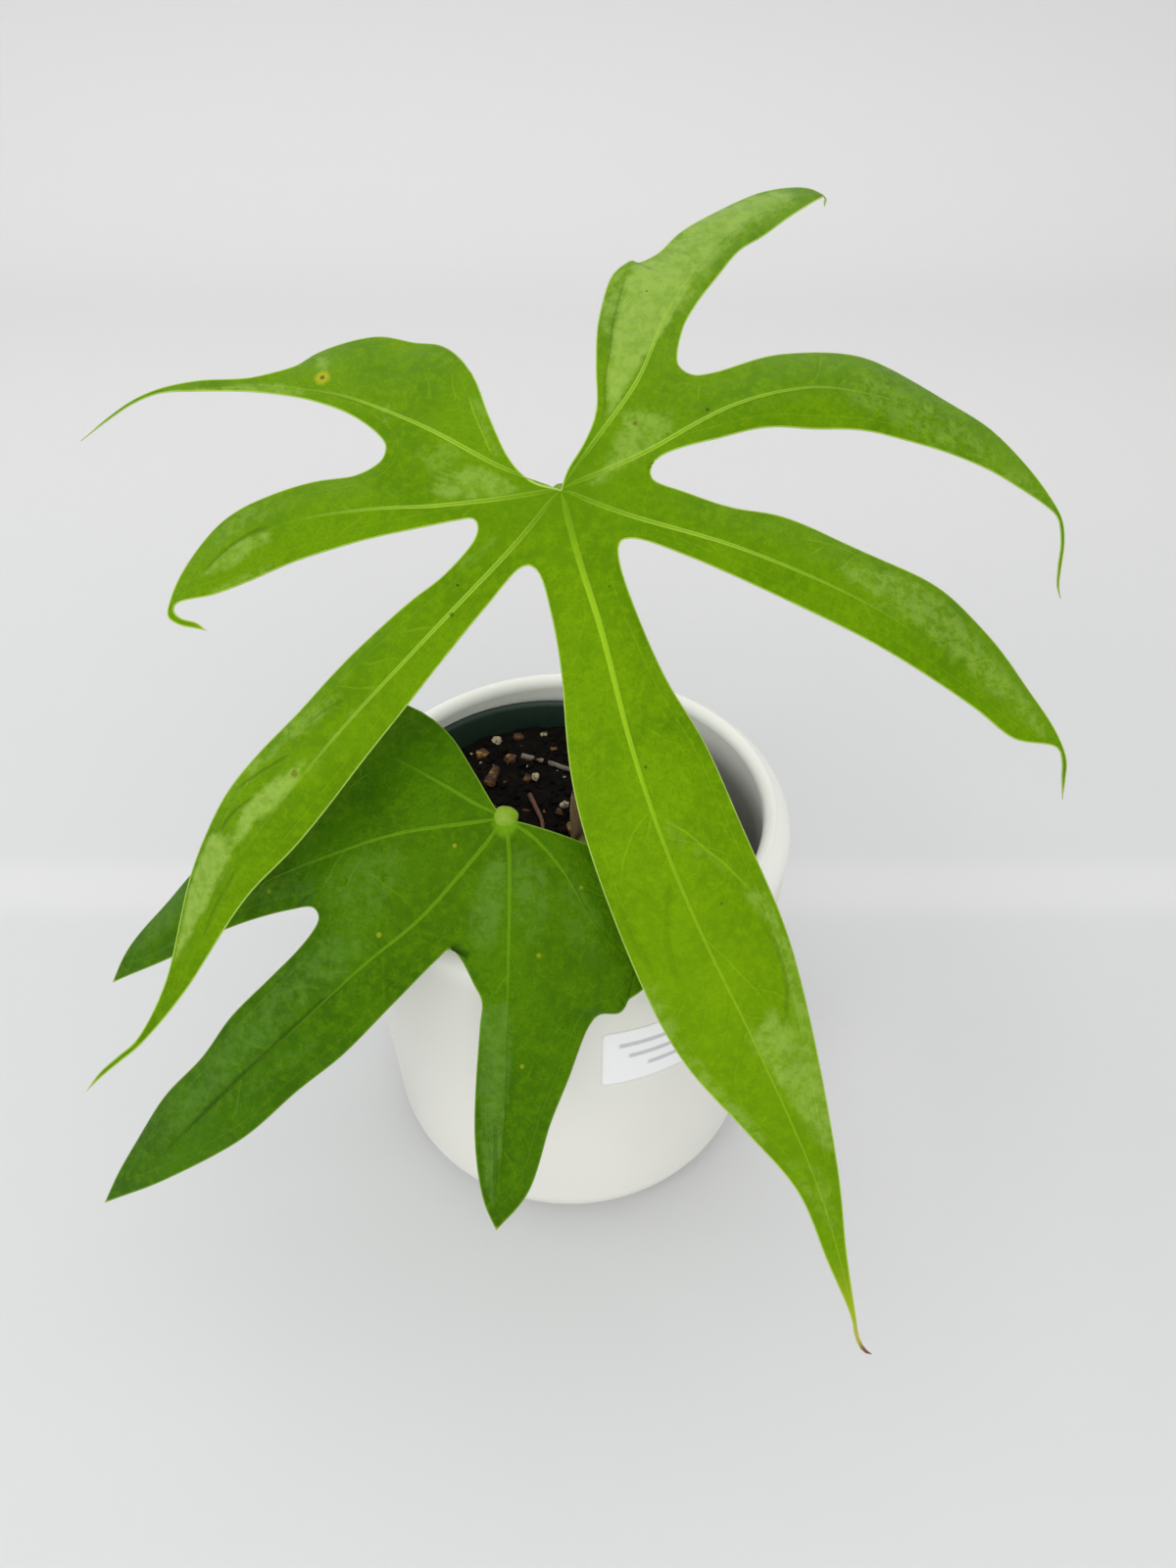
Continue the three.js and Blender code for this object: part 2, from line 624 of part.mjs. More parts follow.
BARK_CHIPS.forEach((piece, i) => addPiece(`bark_chip_${i + 1}`, barkChip(piece), COLOURS.bark, 0.9));
PERLITE_GRAINS.forEach((piece, i) => addPiece(`perlite_${i + 1}`, perliteGrain(piece), COLOURS.perlite, 1));

export default object;
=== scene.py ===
# %% [markdown]
# # A potted anthurium with hand-shaped leaves
# The subject is a young aroid: one fresh green leaf split into seven long lobes, one older and darker
# leaf in front of it, a thin plastic grow pot full of mix, and a plain cream cover pot round that.
# We start from the measured frame, so that every finer piece can be laid exactly where its plain
# solid is. Everything is in metres with Z up, and the cover pot stands on the origin.

# %% Frame and tools
import math
import random
from bisect import bisect_right
import bmesh
import bpy
from mathutils import Matrix, Vector, kdtree, noise


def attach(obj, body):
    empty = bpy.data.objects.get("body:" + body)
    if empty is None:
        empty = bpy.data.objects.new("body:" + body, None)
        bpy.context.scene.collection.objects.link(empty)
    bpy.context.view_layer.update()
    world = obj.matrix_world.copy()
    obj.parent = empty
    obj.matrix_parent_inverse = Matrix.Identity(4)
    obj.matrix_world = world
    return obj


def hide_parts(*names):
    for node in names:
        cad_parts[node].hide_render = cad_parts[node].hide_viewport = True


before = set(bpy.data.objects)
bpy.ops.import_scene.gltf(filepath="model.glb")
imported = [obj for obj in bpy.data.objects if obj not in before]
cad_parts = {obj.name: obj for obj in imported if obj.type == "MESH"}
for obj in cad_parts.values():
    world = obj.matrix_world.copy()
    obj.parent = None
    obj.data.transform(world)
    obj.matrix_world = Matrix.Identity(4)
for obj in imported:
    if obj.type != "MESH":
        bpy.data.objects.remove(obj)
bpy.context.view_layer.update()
MM = 0.001
print("nodes in the frame:", len(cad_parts))

# %% [markdown]
# ## The camera
# The picture was taken from the front and from well above, so that the pot narrows towards the floor.
# A camera could be placed by eye, but the ellipse of the pot's rim and its two outlines pin it down:
# it looks 42 degrees downwards from about half a metre away, with a wide lens. The sensor is measured
# along the tall side of the picture.

# %% Camera
CAMERA_PLACE = (0.0055, -0.2433, 0.3517)
CAMERA_TURN = math.radians(48.1)
CAMERA_LENS = 27.045
CAMERA_SENSOR = 36

camera_data = bpy.data.cameras.new("camera")
camera_data.sensor_fit = "VERTICAL"
camera_data.sensor_height = CAMERA_SENSOR
camera_data.lens = CAMERA_LENS
camera_data.clip_start = 0.01
camera = bpy.data.objects.new("camera", camera_data)
camera.location = CAMERA_PLACE
camera.rotation_euler = (CAMERA_TURN, 0, 0)
bpy.context.scene.collection.objects.link(camera)
bpy.context.scene.camera = camera
bpy.context.scene.view_settings.view_transform = "Standard"
print("camera looks down", round(90 - math.degrees(CAMERA_TURN), 1), "degrees")

# %% [markdown]
# ## Helpers for materials
# Each finish is a small network of nodes. Written out in full, such a network takes hundreds of lines,
# so a few helpers do the wiring. One starts a material, one adds a node and fills its inputs from numbers
# or from the outputs of other nodes, one finishes the shader, and the rest are the nodes used most.

# %% Material helpers
def new_finish(name):
    """A new material, its node tree and its shader."""
    finish = bpy.data.materials.new(name)
    finish.use_nodes = True
    tree = finish.node_tree
    return finish, tree, tree.nodes["Principled BSDF"]


def fill(socket, value):
    """Link the output of another node to a socket, or set the socket to a number or a colour."""
    if isinstance(value, bpy.types.NodeSocket):
        socket.id_data.links.new(value, socket)
    elif socket.type == "RGBA":
        socket.default_value = (*value, 1)
    else:
        socket.default_value = value


def add(tree, kind, inputs=None, **settings):
    """Add a node and fill its inputs. Gives the node."""
    made = tree.nodes.new("ShaderNode" + kind)
    for name, value in settings.items():
        setattr(made, name, value)
    for name, value in (inputs or {}).items():
        fill(made.inputs[name], value)
    return made


def maths(operation, first, second=0.0):
    """Arithmetic with numbers and the outputs of nodes. At least one of the two is an output."""
    tree = next(value.id_data for value in (first, second) if isinstance(value, bpy.types.NodeSocket))
    return add(tree, "Math", {0: first, 1: second}, operation=operation).outputs[0]


def times(first, second):
    return maths("MULTIPLY", first, second)


def plus(first, second):
    return maths("ADD", first, second)


def minus(first, second):
    return maths("SUBTRACT", first, second)


def between(first, second):
    """The distance between two numbers."""
    return maths("ABSOLUTE", minus(first, second))


def ranged(value, low, high):
    """Stretch a value from 0 to 1 to lie between low and high."""
    made = add(value.id_data, "MapRange", {"Value": value, "To Min": low, "To Max": high})
    return made.outputs["Result"]


def step(value, low, high):
    """0 below low and 1 above high, or the other way round, with a soft ramp between."""
    made = add(value.id_data, "MapRange", {"Value": value, "From Min": low, "From Max": high},
               interpolation_type="SMOOTHSTEP")
    return made.outputs["Result"]


def mixed(share, first, second):
    """Mix two colours."""
    return add(share.id_data, "Mix", {0: share, 6: first, 7: second}, data_type="RGBA").outputs[2]


def place_of(tree):
    """Place on the piece, in metres."""
    return add(tree, "TexCoord").outputs["Object"]


def moved(place, operation, amount):
    """A place with an amount added to it, taken from it or multiplied with it."""
    return add(place.id_data, "VectorMath", {0: place, 1: amount}, operation=operation).outputs["Vector"]


def far_from(place, spot):
    """Distance from a spot."""
    return add(place.id_data, "VectorMath", {0: place, 1: spot}, operation="DISTANCE").outputs["Value"]


def part_of(place, axis):
    """One of the three numbers of a place."""
    return add(place.id_data, "SeparateXYZ", {"Vector": place}).outputs[axis]


def grain(tree, scale, detail=2.0, roughness=0.5, place=None):
    """Cloudy noise between 0 and 1. The scale is in clouds a metre, or one for each axis."""
    place = place or place_of(tree)
    if isinstance(scale, tuple):
        place = add(tree, "Mapping", {"Vector": place, "Scale": scale}).outputs["Vector"]
        scale = 1.0
    return add(tree, "TexNoise", {"Vector": place, "Scale": scale, "Detail": detail,
                                  "Roughness": roughness}).outputs["Fac"]


def coated(shader, tone, roughness, height, strength, depth, specular=0.5):
    """Finish a shader: its colour, its roughness, and dents that follow a height, some metres deep."""
    dents = add(shader.id_data, "Bump", {"Height": height, "Strength": strength, "Distance": depth})
    fill(shader.inputs["Base Color"], tone)
    fill(shader.inputs["Roughness"], roughness)
    fill(shader.inputs["Normal"], dents.outputs["Normal"])
    shader.inputs["Specular IOR Level"].default_value = specular


# %% [markdown]
# ## Helpers for meshes
# A piece is made in an edit mesh, then turned into an object that rides on the one body of the part.
# Its place stays in its mesh, and the object itself sits at the origin.

# %% Mesh helpers
def object_of(name, shape, finish=None, smooth=True):
    """Turn an edit mesh into an object of the scene."""
    mesh = bpy.data.meshes.new(name)
    shape.to_mesh(mesh)
    shape.free()
    mesh.polygons.foreach_set("use_smooth", [smooth] * len(mesh.polygons))
    if finish:
        mesh.materials.append(finish)
    made = bpy.data.objects.new(name, mesh)
    bpy.context.scene.collection.objects.link(made)
    return made


def piece(name, shape, finish, instead_of=(), smooth=True):
    """Turn an edit mesh into a piece of the part."""
    if shape.calc_volume(signed=True) < 0:
        bmesh.ops.reverse_faces(shape, faces=shape.faces)
    made = object_of(name, shape, finish, smooth)
    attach(made, "root")
    if instead_of:
        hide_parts(*instead_of)
    print(name, "has", len(made.data.polygons), "faces")
    return made


def corners_of(items):
    """The corners among the corners, edges and faces that an operator made."""
    return [item for item in items if isinstance(item, bmesh.types.BMVert)]


def outwards(shape):
    """Turn all faces of a closed mesh outwards."""
    bmesh.ops.recalc_face_normals(shape, faces=shape.faces)


def turned(profile, steps):
    """Spin a profile of (radius, height) in millimetres round the Z axis, and close its ends."""
    shape = bmesh.new()
    corners = [shape.verts.new((radius * MM, 0, height * MM)) for radius, height in profile]
    lines = [shape.edges.new(pair) for pair in zip(corners, corners[1:])]
    bmesh.ops.spin(shape, geom=corners + lines, cent=(0, 0, 0), axis=(0, 0, 1), dvec=(0, 0, 0),
                   angle=math.tau, steps=steps, use_merge=True)
    bmesh.ops.remove_doubles(shape, verts=shape.verts, dist=1e-6)
    outwards(shape)
    return shape


def arc(centre_radius, centre_height, radius, start, end, steps):
    """Points of an arc in a profile, with its angles in degrees."""
    points = []
    for i in range(steps + 1):
        angle = math.radians(start + (end - start) * i / steps)
        points.append((centre_radius + radius * math.cos(angle), centre_height + radius * math.sin(angle)))
    return points


def smooth_line(points, spans=12):
    """A smooth curve through points, with spans steps between each two of them."""
    line = [Vector(point) for point in points]
    ends = [line[0] * 2 - line[1]] + line + [line[-1] * 2 - line[-2]]
    curve = []
    for a, b, c, d in zip(ends, ends[1:], ends[2:], ends[3:]):
        knots = [0.0]
        for first, second in ((a, b), (b, c), (c, d)):
            knots.append(knots[-1] + max((second - first).length, 1e-6) ** 0.5)
        for i in range(spans):
            t = knots[1] + (knots[2] - knots[1]) * i / spans
            ab = a.lerp(b, (t - knots[0]) / (knots[1] - knots[0]))
            bc = b.lerp(c, (t - knots[1]) / (knots[2] - knots[1]))
            cd = c.lerp(d, (t - knots[2]) / (knots[3] - knots[2]))
            near = ab.lerp(bc, (t - knots[0]) / (knots[2] - knots[0]))
            far = bc.lerp(cd, (t - knots[1]) / (knots[3] - knots[1]))
            curve.append(near.lerp(far, (t - knots[1]) / (knots[2] - knots[1])))
    curve.append(line[-1])
    return curve


class Route:
    """A curve that is read by length."""

    def __init__(self, curve):
        self.curve = curve
        self.reach = [0.0]
        for first, second in zip(curve, curve[1:]):
            self.reach.append(self.reach[-1] + (second - first).length)
        self.length = self.reach[-1]

    def at(self, share):
        """The point at a share of the length, and the direction there."""
        wanted = min(max(share, 0.0), 1.0) * self.length
        low = min(bisect_right(self.reach, wanted), len(self.reach) - 1) - 1
        span = self.reach[low + 1] - self.reach[low]
        part = (wanted - self.reach[low]) / span if span > 0 else 0.0
        first, second = self.curve[low:low + 2]
        return first.lerp(second, part), (second - first).normalized()


def swept(shape, points, radius_at, steps, sides=16):
    """Add a closed tube along points in millimetres: its end is extruded and moved step by step."""
    route = Route(smooth_line(points))
    heading = Vector((0, 0, 1))
    turn = Matrix.Identity(3)
    ring = bmesh.ops.create_circle(shape, cap_ends=True, segments=sides, radius=1)["verts"]
    cap = list({face for vert in ring for face in vert.link_faces})
    before = Matrix.Identity(4)
    for i in range(steps + 1):
        middle, way = route.at(i / steps)
        turn = heading.rotation_difference(way).to_matrix() @ turn
        heading = way
        now = Matrix.Translation(middle * MM) @ turn.to_4x4() @ Matrix.Scale(radius_at(i / steps) * MM, 4)
        if i > 0:
            grown = bmesh.ops.extrude_face_region(shape, geom=cap)["geom"]
            if i > 1:
                bmesh.ops.delete(shape, geom=cap, context="FACES_ONLY")
            ring = corners_of(grown)
            cap = [item for item in grown if isinstance(item, bmesh.types.BMFace)]
        bmesh.ops.transform(shape, matrix=now @ before.inverted(), verts=ring)
        before = now
    return route


print("helpers ready")

# %% [markdown]
# ## Floor and backdrop
# The plant stands on a sheet of white paper that curves up far behind it. A floor and a wall would meet in
# a line, while a sweep only shows a soft change of grey. A flat grid is bent along one quarter circle.
# The paper is painted a little lighter towards the back, a painted light, and a faint painted highlight crosses it
# behind the pot as a lighter band.

# %% Paper sweep
SWEEP_START = 0.75
SWEEP_RADIUS = 0.2
SWEEP_FRONT = -1.0
SWEEP_LENGTH = 3.2
SWEEP_HALF_WIDTH = 1.8
SWEEP_DROP = 0.0003
HORIZON_BAND_PLACE = 0.086
HORIZON_BAND_HALF = 0.022

paper, tree, shader = new_finish("paper_sweep")
fine_cloud = grain(tree, 45.0, 4.0)
from_pot = part_of(place_of(tree), "Y")
paper_tone = mixed(grain(tree, 2.0), (0.64, 0.645, 0.65), (0.67, 0.675, 0.675))
paper_tone = mixed(times(fine_cloud, 0.3), paper_tone, (0.635, 0.64, 0.645))
# painted light: the paper is coloured lighter towards the back
paper_tone = mixed(step(from_pot, 0.0, 0.6), paper_tone, (0.745, 0.745, 0.74))
# painted highlight: a faint lighter band across the paper behind the pot stands for the bright bend of a backdrop
painted_horizon_band = step(between(from_pot, HORIZON_BAND_PLACE), HORIZON_BAND_HALF, 0.004)
paper_tone = mixed(times(painted_horizon_band, 0.45), paper_tone, (0.75, 0.745, 0.74))
coated(shader, paper_tone, 0.9, fine_cloud, 0.1, 0.001, specular=0.1)

shape = bmesh.new()
bmesh.ops.create_grid(shape, x_segments=4, y_segments=90, size=1)
for vert in shape.verts:
    run = SWEEP_FRONT + (vert.co.y + 1) / 2 * SWEEP_LENGTH
    bend = min(max((run - SWEEP_START) / SWEEP_RADIUS, 0), math.pi / 2)
    rest = max(run - SWEEP_START - SWEEP_RADIUS * math.pi / 2, 0)
    back = min(run, SWEEP_START) + SWEEP_RADIUS * math.sin(bend)
    vert.co = (vert.co.x * SWEEP_HALF_WIDTH, back, SWEEP_RADIUS * (1 - math.cos(bend)) + rest - SWEEP_DROP)
sweep = object_of("sweep", shape, paper)
print("sweep bends", SWEEP_START, "m behind the middle of the pot")

# %% [markdown]
# ## Light
# The picture has almost no shadow, because soft light comes from everywhere. An even grey world gives
# the fill. A large lamp overhead and a little behind makes the leaves shine where they lean away, two
# windows on the left model the pot, and a broad lamp far in front stands for the bright room.

# %% Lamps
WORLD_LIGHT = (0.98, 0.99, 1.0)
WORLD_POWER = 0.55
LAMPS = [
    ("overhead", (0.05, 0.2, 1.3), (0, 0.02, 0.1), 1.7, 6.0, (1.0, 0.995, 0.98)),
    ("left_window", (-1.1, 0.1, 0.75), (0, 0, 0.15), 0.9, 2.0, (0.97, 0.99, 1.0)),
    ("front_fill", (0.1, -1.3, 1.05), (0, 0, 0.1), 1.6, 11.0, (1.0, 1.0, 1.0)),
    ("left_front_window", (-0.66, -0.8, 0.98), (0, 0, 0.15), 0.35, 2.0, (1.0, 1.0, 1.0)),
]

world = bpy.data.worlds.new("room")
world.use_nodes = True
backdrop_light = world.node_tree.nodes["Background"]
backdrop_light.inputs["Color"].default_value = (*WORLD_LIGHT, 1)
backdrop_light.inputs["Strength"].default_value = WORLD_POWER
bpy.context.scene.world = world
for name, place, aim, size, power, colour in LAMPS:
    lamp_data = bpy.data.lights.new(name, "AREA")
    lamp_data.shape = "DISK"
    lamp_data.size = size
    lamp_data.energy = power
    lamp_data.color = colour
    lamp = bpy.data.objects.new(name, lamp_data)
    lamp.location = place
    lamp.rotation_euler = (Vector(aim) - Vector(place)).to_track_quat("-Z", "Y").to_euler()
    bpy.context.scene.collection.objects.link(lamp)
print("lamps:", len(LAMPS))

# %% [markdown]
# ## Cover pot
# A slip-cast ceramic pot with a thick wall, a broad lip that rolls inwards, a soft round foot and a
# satin cream glaze. It is a body of revolution, so one side's outline is spun round the axis. The lip
# and the foot are arcs in that outline, which keeps them perfectly even.

# %% Cover pot finish
glaze, tree, shader = new_finish("cream_glaze")
speck = grain(tree, 900.0, 3.0)
glaze_tone = mixed(grain(tree, 14.0), (0.81, 0.80, 0.735), (0.85, 0.84, 0.78))
glaze_tone = mixed(times(speck, 0.1), glaze_tone, (0.72, 0.73, 0.66))
# painted highlight: the glaze is painted lighter near the rim, where the lip catches the light
glaze_tone = mixed(step(part_of(place_of(tree), "Z"), 0.112, 0.124), glaze_tone, (0.95, 0.945, 0.89))
glaze_waves = plus(times(grain(tree, 30.0, 1.0), 2.0), times(speck, 0.15))
coated(shader, glaze_tone, ranged(grain(tree, 60.0, 3.0), 0.34, 0.46), glaze_waves, 0.12, 0.0006, specular=0.4)

# %% Cover pot shape
POT_HEIGHT = 129
POT_RIM = 62.5
POT_MIDDLE = 60.5
POT_LOWER = 58.6
POT_MIDDLE_HEIGHT = 64
POT_FOOT = 15
POT_WALL = 6.2
POT_FLOOR = 6
POT_INNER_FOOT = 9
POT_STEPS = 160
POT_FOOT_RING = [(0, 0.9), (36, 0.9), (38, 0.2), (39.5, 0)]
POT_BELLY = (POT_MIDDLE + 1, 96)
POT_SHOULDER = 8
POT_ROLL = 3.2
POT_ROLL_IN = 1.4
POT_ROLL_DROP = 0.5

pot_profile = list(POT_FOOT_RING)
pot_profile += arc(POT_LOWER - POT_FOOT, POT_FOOT, POT_FOOT, -90, 0, 14)
pot_profile += [(POT_LOWER + 0.9, 40), (POT_MIDDLE, POT_MIDDLE_HEIGHT), POT_BELLY]
pot_profile += arc(POT_RIM - POT_SHOULDER, POT_HEIGHT - POT_SHOULDER, POT_SHOULDER, 0, 62, 12)
pot_profile += arc(POT_RIM - POT_WALL + POT_ROLL_IN, POT_HEIGHT - POT_ROLL_DROP - POT_ROLL, POT_ROLL, 84, 180, 10)
pot_profile += [(POT_RIM - POT_WALL - 0.6, POT_HEIGHT - 12)]
pot_profile += [(POT_BELLY[0] - POT_WALL, POT_BELLY[1]), (POT_MIDDLE - POT_WALL, POT_MIDDLE_HEIGHT)]
pot_profile += arc(POT_LOWER - POT_WALL - POT_INNER_FOOT, POT_FLOOR + POT_INNER_FOOT, POT_INNER_FOOT, 0, -90, 8)
pot_profile += [(0, POT_FLOOR)]
piece("ceramic_cover_pot", turned(pot_profile, POT_STEPS), glaze, ["cover_pot"])
print("rim is", 2 * POT_RIM, "mm across")

# %% [markdown]
# ## Grow pot
# A vacuum-formed plastic pot hides inside: only its dark green rim and a little of its inner wall
# show. It is spun like the cover pot, with a thick collar round its rim, and six drain holes are cut
# from its floor with round cutters.

# %% Grow pot finish
plastic, tree, shader = new_finish("green_plastic")
scuff = grain(tree, 240.0, 5.0, 0.7)
plastic_tone = mixed(scuff, (0.004, 0.020, 0.011), (0.014, 0.040, 0.024))
plastic_tone = mixed(step(scuff, 0.66, 0.8), plastic_tone, (0.06, 0.075, 0.055))
coated(shader, plastic_tone, ranged(scuff, 0.4, 0.6), scuff, 0.2, 0.0004)

# %% Grow pot shape
GROW_CENTRE = (-5, 3)
GROW_TOP = 122
GROW_RIM = 50
GROW_WALL_TOP = 47.6
GROW_BASE = 36
GROW_WALL = 1
GROW_FLOOR = 6.3
COLLAR = 6.7
DRAIN_RADIUS = 4.5
DRAIN_CIRCLE = 24
DRAIN_COUNT = 6

inner = GROW_WALL_TOP - GROW_WALL
collar_base = GROW_TOP - COLLAR
grow_profile = [(0, GROW_FLOOR), (GROW_BASE - 1.5, GROW_FLOOR), (GROW_BASE - 0.4, GROW_FLOOR + 0.4),
                (GROW_BASE, GROW_FLOOR + 1.5), (GROW_WALL_TOP, collar_base), (GROW_RIM - 0.5, collar_base + 0.1),
                (GROW_RIM, collar_base + 0.6), (GROW_RIM, GROW_TOP - 0.8), (GROW_RIM - 0.25, GROW_TOP - 0.2),
                (GROW_RIM - 0.8, GROW_TOP), (inner + 1.6, GROW_TOP), (inner + 1.1, GROW_TOP - 0.3),
                (inner + 0.8, GROW_TOP - 1), (inner, collar_base),
                (GROW_BASE - GROW_WALL, GROW_FLOOR + GROW_WALL), (0, GROW_FLOOR + GROW_WALL)]
shape = turned(grow_profile, 120)
bmesh.ops.translate(shape, vec=(GROW_CENTRE[0] * MM, GROW_CENTRE[1] * MM, 0), verts=shape.verts)
grow_pot = piece("plastic_grow_pot", shape, plastic, ["grow_pot"])

cutters = bmesh.new()
for i in range(DRAIN_COUNT):
    angle = math.tau * i / DRAIN_COUNT
    spot = Vector((*GROW_CENTRE, GROW_FLOOR)) + DRAIN_CIRCLE * Vector((math.cos(angle), math.sin(angle), 0))
    bmesh.ops.create_cone(cutters, cap_ends=True, segments=24, radius1=DRAIN_RADIUS * MM,
                          radius2=DRAIN_RADIUS * MM, depth=6 * MM, matrix=Matrix.Translation(spot * MM))
cutter = object_of("drain_cutters", cutters, smooth=False)
drill = grow_pot.modifiers.new("drain_holes", "BOOLEAN")
drill.operation = "DIFFERENCE"
drill.solver = "EXACT"
drill.object = cutter
bpy.context.view_layer.update()
drilled = bpy.data.meshes.new_from_object(grow_pot.evaluated_get(bpy.context.evaluated_depsgraph_get()))
grow_pot.modifiers.remove(drill)
grow_pot.data = drilled
bpy.data.objects.remove(cutter)
print("grow pot has", DRAIN_COUNT, "drain holes and", len(drilled.polygons), "faces")

# %% [markdown]
# ## Potting mix
# Nearly black peat with bark and white perlite. The block itself is a disc with an uneven top, and its
# side is extruded down inside the grow pot. Loose crumbs on top give it the broken look that bump alone
# can't give at the rim of the pot, where the surface is seen from the side.

# %% Mix finish
peat, tree, shader = new_finish("dark_peat")
clod = grain(tree, 260.0, 6.0, 0.7)
fibre = grain(tree, 1100.0, 3.0, 0.6)
peat_tone = mixed(step(clod, 0.3, 0.8), (0.0015, 0.0012, 0.0008), (0.011, 0.007, 0.004))
peat_tone = mixed(step(fibre, 0.66, 0.76), peat_tone, (0.05, 0.028, 0.012))
coated(shader, peat_tone, 0.95, plus(clod, fibre), 0.8, 0.0012, specular=0.15)

# %% Mix shape
SOIL_LEVEL = 112.4
SOIL_RADIUS = 45.6
SOIL_BASE = 7.6
SOIL_BASE_RADIUS = 34.2
SOIL_RISE = 0.07
SOIL_RISE_START = 14
SOIL_LUMPS = ((0.16, 3.1, 1.1), (0.5, 7.7, 0.6))


def soil_height(x, y):
    """Height of the mix at a place, in millimetres."""
    lumps = sum(noise.noise(Vector((x * scale, y * scale, seed))) * high for scale, seed, high in SOIL_LUMPS)
    return SOIL_LEVEL - 0.4 + lumps + max(y - SOIL_RISE_START, 0) * SOIL_RISE


shape = bmesh.new()
bmesh.ops.create_grid(shape, x_segments=80, y_segments=80, size=1)
for vert in shape.verts:
    u, v = vert.co.x, vert.co.y
    x = u * math.sqrt(1 - v * v / 2) * SOIL_RADIUS + GROW_CENTRE[0]
    y = v * math.sqrt(1 - u * u / 2) * SOIL_RADIUS + GROW_CENTRE[1]
    vert.co = Vector((x, y, soil_height(x, y))) * MM
border = [edge for edge in shape.edges if edge.is_boundary]
sides = bmesh.ops.extrude_edge_only(shape, edges=border)["geom"]
middle = Vector((*GROW_CENTRE, 0)) * MM
for vert in corners_of(sides):
    vert.co = middle + (vert.co - middle) * (SOIL_BASE_RADIUS / SOIL_RADIUS)
    vert.co.z = SOIL_BASE * MM
bmesh.ops.contextual_create(shape, geom=[edge for edge in shape.edges if edge.is_boundary])
outwards(shape)
piece("peat_block", shape, peat, ["potting_mix"])
print("mix fills the grow pot to", SOIL_LEVEL, "mm")

# %% [markdown]
# ## Crumbs, bark and perlite
# Hundreds of small crumbs lie on the mix. Each is an icosphere of twenty faces, squashed, turned and
# pushed about by a seeded random draw. The larger chips of bark and grains of perlite that stand
# out in the picture are made one by one in their own places, with finer meshes.

# %% Crumb finishes
bark, tree, shader = new_finish("bark")
layer = grain(tree, (260, 900, 900), 4.0, 0.6)
bark_tone = mixed(step(layer, 0.35, 0.75), (0.020, 0.008, 0.003), (0.22, 0.095, 0.022))
bark_tone = mixed(step(grain(tree, 180.0), 0.56, 0.7), bark_tone, (0.55, 0.29, 0.07))
coated(shader, bark_tone, 0.85, layer, 0.7, 0.0006)

perlite, tree, shader = new_finish("perlite")
bubble = add(tree, "TexVoronoi", {"Vector": place_of(tree), "Scale": 1500.0}).outputs["Distance"]
perlite_tone = mixed(grain(tree, 300.0, 3.0), (0.40, 0.32, 0.17), (0.66, 0.60, 0.44))
perlite_tone = mixed(step(bubble, 0.4, 0.8), perlite_tone, (0.22, 0.16, 0.09))
coated(shader, perlite_tone, 0.9, bubble, 0.6, 0.0005)

# %% Loose crumbs
STEM_PLACE = (8, -10)
STEM_ROOM = 9
CRUMB_KINDS = [("peat_crumbs", peat, "potting_mix", 620, (1.2, 3.4)),
               ("bark_crumbs", bark, "bark", 90, (1.2, 3.2)),
               ("perlite_crumbs", perlite, "perlite", 22, (0.7, 1.9))]
draw = random.Random(11)


def lump(shape, place, size, turn, roughness, level=1, seed=0.0):
    """Add one uneven grain, with its size in millimetres, lying on the mix."""
    grown = bmesh.ops.create_icosphere(shape, subdivisions=level, radius=0.5)["verts"]
    for vert in grown:
        vert.co *= 1 + roughness * noise.noise(vert.co * 2.6 + Vector((seed, seed * 1.7, 0)))
    matrix = (Matrix.Translation(Vector(place) * MM) @ turn.to_4x4()
              @ Matrix.Diagonal((size[0] * MM, size[1] * MM, size[2] * MM, 1)))
    bmesh.ops.transform(shape, matrix=matrix, verts=grown)


def free_spot(reach):
    """A random place on the mix, clear of the stem."""
    while True:
        distance = reach * math.sqrt(draw.random())
        angle = draw.uniform(0, math.tau)
        x = GROW_CENTRE[0] + distance * math.cos(angle)
        y = GROW_CENTRE[1] + distance * math.sin(angle)
        if math.hypot(x - STEM_PLACE[0], y - STEM_PLACE[1]) > STEM_ROOM:
            return x, y


for name, finish, slot, count, (least, most) in CRUMB_KINDS:
    shape = bmesh.new()
    for i in range(count):
        x, y = free_spot(SOIL_RADIUS - 2.4)
        length = least + (most - least) * draw.random() ** 2
        size = (length, length * draw.uniform(0.5, 0.9), length * draw.uniform(0.35, 0.7))
        turn = Matrix.Rotation(draw.uniform(0, math.tau), 3, "Z")
        turn = turn @ Matrix.Rotation(draw.uniform(-0.5, 0.5), 3, "X")
        lump(shape, (x, y, soil_height(x, y) + size[2] * 0.28), size, turn, 0.9, seed=i * 0.37)
    piece(name, shape, finish, smooth=False)

# %% Bark chips and grains of perlite
BARK_CHIPS = [((-23.5, 25.5), (4.5, 11, 2.6), -14), ((-27.5, 36), (6, 4.5, 2.4), 30),
              ((-18.5, 34), (5.5, 4, 2.2), -25), ((2, 3), (8, 6, 3), 20), ((-16.5, 44), (5, 4, 2.4), 10)]
GRAINS = [((-23, 41.5), (4.6, 4.2, 3.4), 0), ((-8.5, 45), (3.6, 3, 2.4), 40), ((-10.5, 25), (3.4, 4.2, 2.6), 15),
          ((-1.5, 12.5), (3.8, 3.4, 2.8), 60)]
CLEARANCE = 0.3
WORN = 0.72
CHIP_EDGE = 0.16
CHIP_UNEVEN = 0.16
CHIP_TAPER = 0.3

